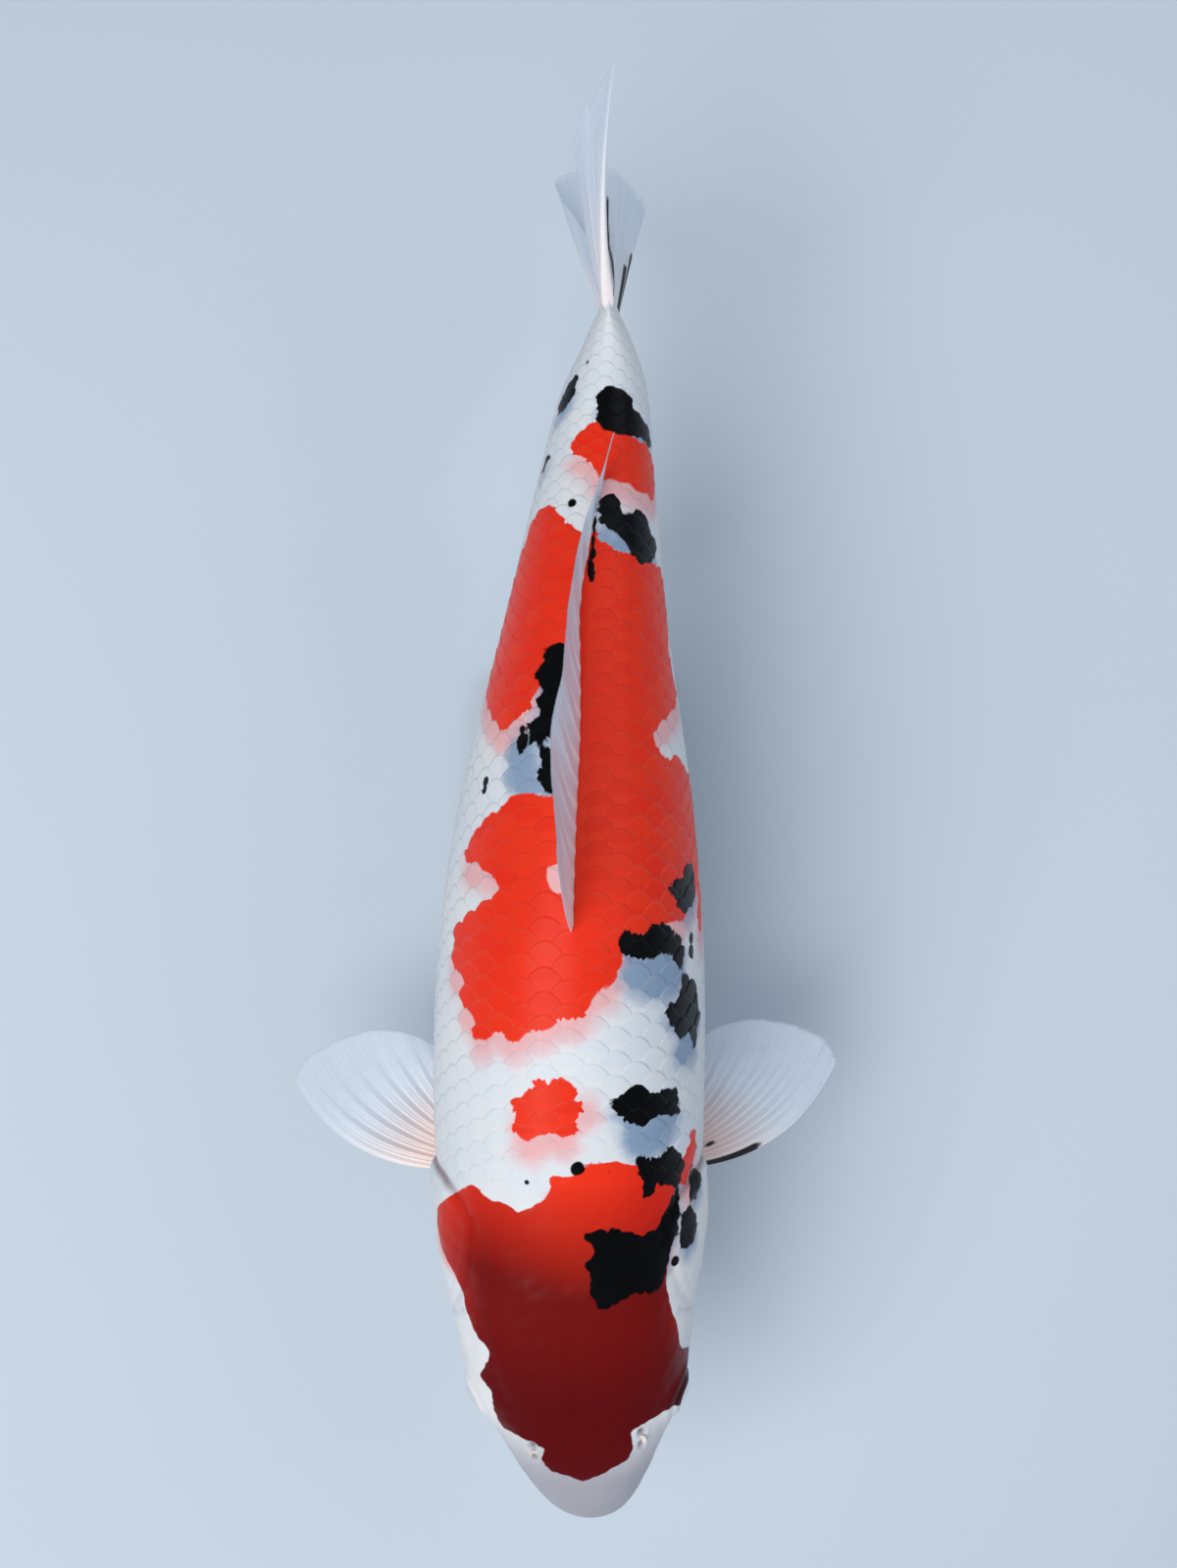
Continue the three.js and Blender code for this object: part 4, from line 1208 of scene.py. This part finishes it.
def fin_web(tree, spot, peach_share, rim_cover):
    """Fin web, clear and thin between bony rays: the web lets what is behind it show, the rays don't, and the
    root is flesh with blood in it."""
    place = node(tree, "UVMap", {"uv_map": "Fin"})
    along = node(tree, "SeparateXYZ", {0: place}).outputs["Y"]
    ray, streak = (
        node(tree, "Attribute", {"attribute_name": name}).outputs["Fac"] for name in ("ray", "streak")
    )
    # Joints of the rays, about 1.4 mm apart on the long ones.
    joints = node(tree, "Math", {**PRODUCT, 0: along, 1: 350.0})
    joints = node(tree, "Math", {"operation": "SINE", 0: joints})
    joints = node(tree, "MapRange", {0: joints, 1: 0.2, 2: 1.0, 3: 1.0, 4: 0.8})
    fading = node(tree, "MapRange", {0: along, 1: 0.3, 2: 0.8, 3: 1.0, 4: 0.15})
    bone = node(tree, "Math", {**PRODUCT, 0: ray, 1: joints})
    bone = node(tree, "Math", {**PRODUCT, 0: bone, 1: fading})
    rooted = node(tree, "MapRange", {**SMOOTH, 0: along, 1: 0.08, 2: 0.62, 3: peach_share, 4: 0.0})
    web = node(tree, "Mix", {**COLOURED, 0: rooted, 6: "web", 7: "peach"})
    rays = node(tree, "Mix", {**COLOURED, 0: rooted, 6: "ray", 7: "#f3d9cf"})
    base = node(tree, "Mix", {**COLOURED, 0: bone, 6: web, 7: rays})
    # The web clears from the root towards the rim, unevenly, and the rays clear less.
    cloud = node(tree, "TexNoise", {"Scale": 120, "Detail": 3, "Vector": spot})
    clear = node(tree, "MapRange", {**SMOOTH, 0: along, 1: 0.1, 2: 0.75, 3: 0.95, 4: rim_cover})
    clear = node(tree, "Math", {**SCALED_SUM, 0: cloud, 1: 0.16, 2: clear})
    bony = node(tree, "MapRange", {**SMOOTH, 0: along, 1: 0.2, 2: 1.0, 3: 1.0, 4: rim_cover + 0.12})
    alpha = node(tree, "MapRange", {0: bone, 1: 0.0, 2: 1.0, 3: clear, 4: bony})
    ending = node(tree, "MapRange", {0: along, 1: 0.972, 2: 0.994, 3: 1.0, 4: 0.15})
    alpha = node(tree, "Math", {**PRODUCT, 0: alpha, 1: ending})
    fine = node(tree, "TexNoise", {"Scale": 900, "Detail": 2, "Vector": spot})
    ribbed = node(tree, "Math", {**SCALED_SUM, 0: fine, 1: 0.5, 2: bone})
    return node(
        tree,
        "BsdfPrincipled",
        {
            "Base Color": node(tree, "Mix", {**COLOURED, 0: streak, 6: base, 7: "black"}),
            "Alpha": node(tree, "Math", {"operation": "MAXIMUM", 0: alpha, 1: streak}),
            "Normal": node(tree, "Bump", {"Strength": 0.3, "Distance": 0.0004, "Height": ribbed}),
            "Roughness": 0.36,
            "IOR": 1.42,
            "Coat Weight": 0.35,
            "Coat Roughness": 0.15,
            "Subsurface Weight": 0.1,
            "Subsurface Radius": (1.0, 0.5, 0.35),
            "Subsurface Scale": 0.001,
        },
    )


class KOI_OT_single_fins(bpy.types.Operator):
    """Builds the dorsal, tail and anal fins"""

    bl_idname = "koi.single_fins"
    bl_label = "Dorsal, tail and anal fins"

    def execute(self, context):
        spread = finished("Fin web with bony rays, spread", fin_web, 0.35, 0.5)
        folded = finished("Fin web with bony rays, folded", fin_web, 0.3, 0.8)
        for name, material in (("dorsal_fin", folded), ("tail_fin", spread), ("anal_fin", spread)):
            show(fin_mesh(name, FINS[name], 1), "fin", material, *FINS[name]["nodes"])
        return {"FINISHED"}


def turned_back(fin, degrees):
    """The same fin with its rim turned about the middle of its root."""
    turn = math.radians(degrees)
    pivot_x, pivot_at, _ = fin["root"][1]
    rim = [
        (
            pivot_x + (x - pivot_x) * math.cos(turn) - (at - pivot_at) * math.sin(turn),
            pivot_at + (x - pivot_x) * math.sin(turn) + (at - pivot_at) * math.cos(turn),
            z,
        )
        for x, at, z in fin["rim"]
    ]
    return {**fin, "rim": rim}


class KOI_OT_paired_fins(bpy.types.Operator):
    """Builds the pectoral and pelvic fins"""

    bl_idname = "koi.paired_fins"
    bl_label = "Paired fins"

    def execute(self, context):
        flushed = finished("Fin web with bony rays, flushed", fin_web, 0.85, 0.36)
        for kind in ("pectoral_fin", "pelvic_fin"):
            for word, side in SIDES:
                name = f"{kind}_{word}"
                back = LEFT_PECTORAL_FOLD if name == "pectoral_fin_left" else 0
                show(fin_mesh(name, turned_back(FINS[kind], back), side), "fin", flushed, name)
        return {"FINISHED"}


# ------------------------------------------------------------------ eyes, nostrils and barbels

GLOBE = 8.85  # inner ball of the eye, millimetres
IRIS = 6.3


def turned_to(look, middle):
    """Turns +Z to the way a part looks, and moves it into place. Takes fish coordinates."""
    place = Vector(in_place(middle))
    return Matrix.Translation(place) @ Vector(look).to_track_quat("Z", "Y").to_matrix().to_4x4()


def ball_mesh(name, radius, across, down):
    """A ball, and its corners in millimetres."""
    bm = bmesh.new()
    bmesh.ops.create_uvsphere(bm, u_segments=across, v_segments=down, radius=radius * MM)
    mesh = mesh_from(bm, name)
    return mesh, corners_of(mesh) / MM


def wet_iris(tree, spot):
    """A fish's eye behind its clear front: black pupil with a thin bright rim, a pale gold iris with fine
    spokes that darkens outwards, then the dark edge of the ball."""
    pupil = bpy.context.scene.koi_sizes.pupil / MM / EYE_RADIUS
    radius, upper = (
        node(tree, "Attribute", {"attribute_name": name}).outputs["Fac"] for name in ("from_axis", "upper")
    )
    grain = node(tree, "TexNoise", {"Scale": 1100, "Detail": 4, "Vector": spot})
    shaken = node(tree, "Math", {**SCALED_SUM, 0: grain, 1: 0.3, 2: radius})
    band = node(tree, "Math", {"operation": "DIVIDE", 0: shaken, 1: EYE_RADIUS})
    rings = node(tree, "ValToRGB", {0: band})
    stops = (
        (0.0, "#020203"),
        (pupil, "#040405"),
        (pupil + 0.03, "#e8dcae"),
        (pupil + 0.08, "#b9ae8c"),
        (0.58, "#e6e2d4"),
        (0.68, "#a39c8a"),
        (0.76, "#3a3632"),
        (0.84, "#100e0c"),
    )
    elements = rings.color_ramp.elements
    elements.remove(elements[1])
    for i, (place, text) in enumerate(stops):
        element = elements[0] if i == 0 else elements.new(place)
        element.position = place
        element.color = tone(text)
    # The lid's shade lies over the upper part.
    lidded = node(tree, "Math", {**SCALED_SUM, 0: grain, 1: 0.5, 2: upper})
    lidded = node(tree, "MapRange", {**SMOOTH, 0: lidded, 1: 0.1, 2: 0.8, 4: 0.92})
    tinted = node(tree, "Mix", {**COLOURED, "blend_type": "MULTIPLY", 0: 0.35, 6: rings, 7: "iris"})
    return node(
        tree,
        "BsdfPrincipled",
        {
            "Base Color": node(tree, "Mix", {**COLOURED, 0: lidded, 6: tinted, 7: "#1b1611"}),
            "Normal": node(tree, "Bump", {"Strength": 0.3, "Distance": 0.0002, "Height": grain}),
            "Roughness": 0.4,
            "Specular IOR Level": 0.06,
        },
    )


def clear_cornea(tree, spot):
    """The eye's clear wet front: nothing but its reflections show."""
    # The film of water on it is uneven by a hair, which softens its highlight.
    film = node(tree, "TexNoise", {"Scale": 300, "Detail": 1, "Vector": spot})
    bumps = node(tree, "Bump", {"Strength": 0.05, "Distance": 0.0002, "Height": film})
    gloss = node(tree, "BsdfGlossy", {"Roughness": 0.03, "Color": "#ffffff", "Normal": bumps})
    angle = node(tree, "Fresnel", {"IOR": 1.3})
    glint = node(tree, "Math", {"operation": "MINIMUM", 0: angle, 1: 0.22})
    return node(tree, "MixShader", {0: glint, 1: node(tree, "BsdfTransparent", {}), 2: gloss})


class KOI_OT_eyes(bpy.types.Operator):
    """Builds both eyes: a ball with a sunk iris and lens, and a clear cornea over it"""

    bl_idname = "koi.eyes"
    bl_label = "Eyes"

    def execute(self, context):
        pupil = context.scene.koi_sizes.pupil / MM
        for word, side in SIDES:
            middle, look = eye_frame(side)
            mesh, points = ball_mesh(f"eyeball_{word}", GLOBE, 64, 48)
            away = np.hypot(points[:, 0], points[:, 1])
            flat = math.sqrt(GLOBE**2 - IRIS**2)
            front = (points[:, 2] > 0) & (away < IRIS)
            lens = np.sqrt(np.maximum(1 - (away / (pupil * 1.12)) ** 2, 0))
            sunk = flat - 0.35 * (1 - away / IRIS) + 0.9 * lens
            points[:, 2] = np.where(front, np.minimum(points[:, 2], sunk + 0.5), points[:, 2])
            shape_mesh(mesh, points * MM)
            place = turned_to(look, middle)
            upper = points @ np.array(place.to_3x3())[2] / IRIS
            write_values(mesh, from_axis=np.where(points[:, 2] > 0, away, EYE_RADIUS), upper=upper)
            mesh.transform(place)
            show(mesh, "eye", finished("Eye, wet iris", wet_iris), f"eye_{word}")
            clear, _ = ball_mesh(f"cornea_{word}", EYE_RADIUS - 0.05, 64, 48)
            clear.transform(place)
            show(clear, "eye", finished("Eye, clear cornea", clear_cornea), f"eye_{word}")
        return {"FINISHED"}


def soft_skin(tree, spot):
    """Bare soft skin of barbels and nostril flaps: pale, flushed and a little see-through."""
    cloud = node(tree, "TexNoise", {"Scale": 220, "Detail": 3, "Vector": spot})
    flush = node(tree, "MapRange", {0: cloud, 1: 0.3, 2: 0.75, 3: 0.1, 4: 0.5})
    return node(
        tree,
        "BsdfPrincipled",
        {
            "Base Color": node(tree, "Mix", {**COLOURED, 0: flush, 6: "white", 7: "peach"}),
            "Normal": node(tree, "Bump", {"Strength": 0.15, "Distance": 0.0003, "Height": cloud}),
            "Roughness": 0.34,
            "Subsurface Weight": 0.3,
            "Subsurface Radius": (1.0, 0.4, 0.25),
            "Subsurface Scale": 0.002,
            "Coat Weight": 0.4,
            "Coat Roughness": 0.12,
        },
    )


LID_RADIUS = 7.3
LID_THICK = 0.95


class KOI_OT_eyelids(bpy.types.Operator):
    """Builds the fleshy ring round each eye, standing on the skin and with its markings"""

    bl_idname = "koi.eyelids"
    bl_label = "Eyelids"

    def execute(self, context):
        for word, side in SIDES:
            mesh, turn, tube = grid_mesh(f"eyelid_{word}", 96, 14)
            turn, tube = turn[0][:, None] * 2 * math.pi, tube[0][:, None] * 2 * math.pi
            middle, look = eye_frame(side)
            rear = np.array((0.0, 1.0, 0.0)) - look * look[1]
            rear /= np.linalg.norm(rear)
            down = np.cross(rear, look) * side
            away = rear * np.cos(turn) + down * np.sin(turn)
            # The place on the skin just outside the ring, found by steps.
            at = np.full(len(turn), EYE_AT)
            girth = np.full(len(turn), side * EYE_SHARE * half_girth(EYE_AT))
            for _ in range(6):
                miss = middle + away * (LID_RADIUS + 1.0) - smooth_skin(at, girth / half_girth(at))
                at = at + miss @ rear
                girth = girth + side * (miss @ down)
            height = (skin_point(at, girth / half_girth(at)) - middle) @ look
            thick = LID_THICK * (1 + 0.12 * np.sin(turn * 2 + 1) + 0.2 * np.maximum(-np.sin(turn), 0))
            ring = away * LID_RADIUS + look * (height[:, None] - 0.55)
            points = middle + ring + thick * (away * np.cos(tube) * 1.15 + look * np.sin(tube))
            shape_mesh(mesh, in_place(points))
            write_values(
                mesh,
                **marking_depths(at, girth),
                crown=crown_share(at, girth),
                tint=0.35 + 0 * at,
                # a little of the snout's painted shade
                snout=0.05 + 0 * at,
                # the eye ring's dark red, partly painted shade under the brow
                brow=0.6 + 0 * at,
                # Painted shade on the lid's inner side, where it meets the eye.
                crease=0.26 * (1 - np.cos(tube[:, 0])) / 2 + 0.04,
            )
            weld(mesh, turn_out=True)
            show(mesh, "skin", skin_material(False), "head")
        return {"FINISHED"}


class KOI_OT_nostrils(bpy.types.Operator):
    """Builds the flap of skin that parts each nostril"""

    bl_idname = "koi.nostrils"
    bl_label = "Nostril flaps"

    def execute(self, context):
        for word, (nostril_at, nostril_girth) in NOSTRILS.items():
            at = np.array([nostril_at - 0.4])
            share = nostril_girth / half_girth(at)
            middle = skin_point(at, share, -0.2)[0]
            look = outward(at, share)[0] + np.array((0, 0.75, 0))
            mesh, points = ball_mesh(f"nostril_flap_{word}", 1.0, 24, 16)
            points = points * (2.1, 0.42, 1.7)
            points[:, 1] += 0.2 * points[:, 0] ** 2 - 0.12 * points[:, 2] ** 2
            shape_mesh(mesh, points * MM)
            mesh.transform(turned_to(look / np.linalg.norm(look), middle))
            show(mesh, "skin", finished("Koi skin, soft and flushed", soft_skin), "head")
        return {"FINISHED"}


BARBELS = {
    # a line along the middle, then the radius at the root
    "corner": (
        ((15.2, 17.0, -22.5), (16.6, 17.5, -26), (20.5, 18, -31), (23, 22, -38), (23.5, 27, -42)), 1.5,
    ),
    "lip": (
        ((11.5, 8.5, -13.5), (13.6, 7, -15.5), (16.6, 5.8, -17.8), (18.3, 5.8, -21), (18.6, 7, -24)), 1.1,
    ),
}


class KOI_OT_barbels(bpy.types.Operator):
    """Builds the four barbels as tapering soft whiskers"""

    bl_idname = "koi.barbels"
    bl_label = "Barbels"

    def execute(self, context):
        for kind, (points, radius) in BARBELS.items():
            for word, side in SIDES:
                name = f"barbel_{kind}_{word}"
                mesh, turn, along = grid_mesh(f"{name}_flesh", 20, 40)
                turn, along = turn[0] * 2 * math.pi, along[0]
                line = in_place(np.array(points) * (side, 1, 1)) / MM
                middle = along_curve(line, along)
                ahead, behind = np.minimum(along + 0.02, 1), np.maximum(along - 0.02, 0)
                way = along_curve(line, ahead) - along_curve(line, behind)
                way /= np.linalg.norm(way, axis=-1, keepdims=True)
                first = np.cross(way, (0.0, 1.0, 0.3))
                first /= np.linalg.norm(first, axis=-1, keepdims=True)
                second = np.cross(way, first)
                thick = radius * (1.15 - 0.7 * along) * (1 + 0.05 * np.sin(along * 60))
                thick = thick * np.sqrt(np.clip(np.minimum(along / 0.02, (1 - along) / 0.06), 0, 1))
                ring = first * (np.cos(turn) * thick)[:, None] + second * (np.sin(turn) * thick)[:, None]
                shape_mesh(mesh, (middle + ring) * MM)
                weld(mesh, turn_out=True)
                show(mesh, "skin", finished("Koi skin, soft and flushed", soft_skin), name)
        return {"FINISHED"}


# ------------------------------------------------------------------ stand


def walnut(tree, spot):
    """Oiled walnut, planed and sanded: dark grain lines 3 to 6 mm apart along the length, open pores, and a
    low sheen from the oil."""
    lain = node(tree, "Mapping", {"Scale": (1.0, 0.09, 1.0), "Vector": spot})
    grain = node(tree, "TexNoise", {"Scale": 210, "Detail": 5, "Distortion": 0.8, "Vector": lain})
    pores = node(tree, "TexNoise", {"Scale": 1500, "Detail": 2, "Vector": lain})
    dark = node(tree, "MapRange", {0: grain, 1: 0.38, 2: 0.66})
    wood = node(tree, "Mix", {**COLOURED, 0: dark, 6: "walnut", 7: "#6d4a33"})
    pitted = node(tree, "MapRange", {0: pores, 1: 0.3, 2: 0.42, 3: 0.6, 4: 0.0})
    return node(
        tree,
        "BsdfPrincipled",
        {
            "Base Color": node(tree, "Mix", {**COLOURED, 0: pitted, 6: wood, 7: "#2b1b12"}),
            "Roughness": node(tree, "MapRange", {0: grain, 3: 0.38, 4: 0.55}),
            "Normal": node(tree, "Bump", {"Strength": 0.25, "Distance": 0.0003, "Height": pores}),
        },
    )


def satin_steel(tree, spot):
    """Satin steel rod: brushed round its length, so highlights stretch and stay soft."""
    lain = node(tree, "Mapping", {"Scale": (0.06, 0.06, 1.0), "Vector": spot})
    lines = node(tree, "TexNoise", {"Scale": 2600, "Detail": 2, "Vector": lain})
    return node(
        tree,
        "BsdfPrincipled",
        {
            "Base Color": "steel",
            "Metallic": 1.0,
            "Roughness": node(tree, "MapRange", {0: lines, 3: 0.26, 4: 0.44}),
            "Normal": node(tree, "Bump", {"Strength": 0.12, "Distance": 0.0001, "Height": lines}),
        },
    )


BASE_CORNER = 0.014
BASE_EASE = 0.0015
ROD_RADIUS = 0.004
# The foot ring of a rod, as (radius, height over the base).
ROD_FOOT = (
    (0.0088, 0.0), (0.0093, 0.0006), (0.0093, 0.0022), (0.0086, 0.003), (0.0058, 0.0034), (ROD_RADIUS, 0.006),
)


def rises(edge):
    """How far apart in height the edge's ends are."""
    return abs(edge.verts[0].co.z - edge.verts[1].co.z)


class KOI_OT_stand(bpy.types.Operator):
    """Builds the walnut base and the two steel rods"""

    bl_idname = "koi.stand"
    bl_label = "Stand"

    def execute(self, context):
        low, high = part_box("stand_base")
        foot = high.z
        bm = bmesh.new()
        bmesh.ops.create_cube(bm, size=1)
        bmesh.ops.scale(bm, vec=high - low, verts=bm.verts)
        bmesh.ops.translate(bm, vec=(high + low) / 2, verts=bm.verts)
        ease = {"profile": 0.5, "affect": "EDGES", "material": -1}
        upright = [e for e in bm.edges if rises(e) > 0.001]
        bmesh.ops.bevel(bm, geom=upright, offset=BASE_CORNER, segments=10, **ease)
        round_edges = [e for e in bm.edges if rises(e) < 1e-6 and e.calc_face_angle(0) > 1]
        bmesh.ops.bevel(bm, geom=round_edges, offset=BASE_EASE, segments=4, **ease)
        plate = mesh_from(bm, "base_plate")
        piece = show(plate, "base", finished("Walnut, planed and oiled", walnut), "stand_base")
        flat = piece.modifiers.new("Even shading", "WEIGHTED_NORMAL")
        flat.keep_sharp = True
        for word in ("front", "rear"):
            low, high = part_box(f"stand_rod_{word}")
            middle = (low + high) / 2
            outline = [(0.0, low.z), (ROD_RADIUS, low.z), (ROD_RADIUS, foot)]
            outline += [(out, foot + over) for out, over in ROD_FOOT]
            outline += [(ROD_RADIUS, high.z - 0.0006), (ROD_RADIUS - 0.0006, high.z), (0.0, high.z)]
            bm = bmesh.new()
            line = [bm.verts.new((middle.x + out, middle.y, z)) for out, z in outline]
            edges = [bm.edges.new(pair) for pair in zip(line, line[1:])]
            axle = {"cent": (middle.x, middle.y, 0), "axis": (0, 0, 1), "angle": 2 * math.pi}
            bmesh.ops.spin(bm, geom=line + edges, **axle, steps=48, use_merge=True)
            bmesh.ops.remove_doubles(bm, verts=bm.verts, dist=1e-6)
            bmesh.ops.recalc_face_normals(bm, faces=bm.faces)
            steel = finished("Steel rod, satin brushed", satin_steel)
            piece = show(mesh_from(bm, f"rod_{word}"), "rod", steel, f"stand_rod_{word}")
            bend = piece.modifiers.new("Crisp steps", "EDGE_SPLIT")
            bend.split_angle = math.radians(35)
        return {"FINISHED"}


# ------------------------------------------------------------------ stage


def floor_paint(tree, spot):
    """Matt painted floor, rolled: pale, even and without gloss."""
    cloud = node(tree, "TexNoise", {"Scale": 2.2, "Detail": 2, "Vector": spot})
    floor = bpy.context.scene.koi_stage.floor
    lighter = [min(1.0, c * 1.06) for c in floor]
    base = node(tree, "Mix", {**COLOURED, 0: cloud, 6: (*floor, 1.0), 7: (*lighter, 1.0)})
    return node(tree, "BsdfPrincipled", {"Base Color": base, "Roughness": 0.75})


CAMERA_PLACE = (0.007, 0.077, 0.838)
CAMERA_LENS = 39.17
LIT_PLACE = Vector((0, 0.05, 0.12))  # where both lamps are turned to
LAMP_SIZE = 1.2


class KOI_OT_stage(bpy.types.Operator):
    """Sets up the floor, the light and the camera straight above the fish"""

    bl_idname = "koi.stage"
    bl_label = "Floor, light and camera"

    def execute(self, context):
        scene = context.scene
        settings = scene.koi_stage
        bm = bmesh.new()
        bmesh.ops.create_grid(bm, x_segments=8, y_segments=8, size=40.0)
        mesh = mesh_from(bm, "floor")
        mesh.materials.append(finished("Floor paint, rolled and matt", floor_paint))
        floor = bpy.data.objects.new("floor", mesh)
        scene.collection.objects.link(floor)
        for name, place, power, tint in (
            ("key light", (-0.6, -0.35, 1.6), settings.key, (1.0, 0.99, 0.97)),
            ("fill light", (1.1, 0.5, 1.1), settings.fill, (0.86, 0.92, 1.0)),
        ):
            data = bpy.data.lights.new(name, "AREA")
            data.size = LAMP_SIZE
            data.energy = power
            data.color = tint
            lamp = bpy.data.objects.new(name, data)
            lamp.location = place
            lamp.rotation_euler = (LIT_PLACE - Vector(place)).to_track_quat("-Z", "Y").to_euler()
            scene.collection.objects.link(lamp)
        world = bpy.data.worlds.new("soft sky")
        world.use_nodes = True
        sky = world.node_tree.nodes["Background"]
        sky.inputs["Color"].default_value = tone("#dfe7f3")
        sky.inputs["Strength"].default_value = settings.sky
        scene.world = world
        scene.view_settings.view_transform = "Standard"
        data = bpy.data.cameras.new("camera")
        data.lens = CAMERA_LENS
        camera = bpy.data.objects.new("camera", data)
        camera.location = CAMERA_PLACE
        scene.collection.objects.link(camera)
        scene.camera = camera
        return {"FINISHED"}


# ------------------------------------------------------------------ add-on


class KOI_PT_build(bpy.types.Panel):
    """Lists the steps that build the koi carp"""

    bl_idname = "KOI_PT_build"
    bl_label = "Koi carp"
    bl_space_type = "VIEW_3D"
    bl_region_type = "UI"
    bl_category = "Koi"

    def draw(self, context):
        for step in STEPS:
            self.layout.operator(step.bl_idname)
        for group in (context.scene.koi_sizes, context.scene.koi_colours, context.scene.koi_stage):
            box = self.layout.box()
            for name in group.bl_rna.properties.keys():
                if name not in ("rna_type", "name"):
                    box.prop(group, name)


STEPS = (
    KOI_OT_stage,
    KOI_OT_skin,
    KOI_OT_scales,
    KOI_OT_eyes,
    KOI_OT_eyelids,
    KOI_OT_nostrils,
    KOI_OT_barbels,
    KOI_OT_single_fins,
    KOI_OT_paired_fins,
    KOI_OT_stand,
)
GROUPS = {"koi_sizes": KoiSizes, "koi_colours": KoiColours, "koi_stage": KoiStage}


def register():
    for kind in (*GROUPS.values(), *STEPS, KOI_PT_build):
        bpy.utils.register_class(kind)
    for name, kind in GROUPS.items():
        setattr(bpy.types.Scene, name, bpy.props.PointerProperty(type=kind))


def unregister():
    for name in GROUPS:
        delattr(bpy.types.Scene, name)
    for kind in reversed((*GROUPS.values(), *STEPS, KOI_PT_build)):
        bpy.utils.unregister_class(kind)


def main():
    register()
    for step in STEPS:
        group, name = step.bl_idname.split(".")
        getattr(getattr(bpy.ops, group), name)()


if __name__ == "__main__":
    main()
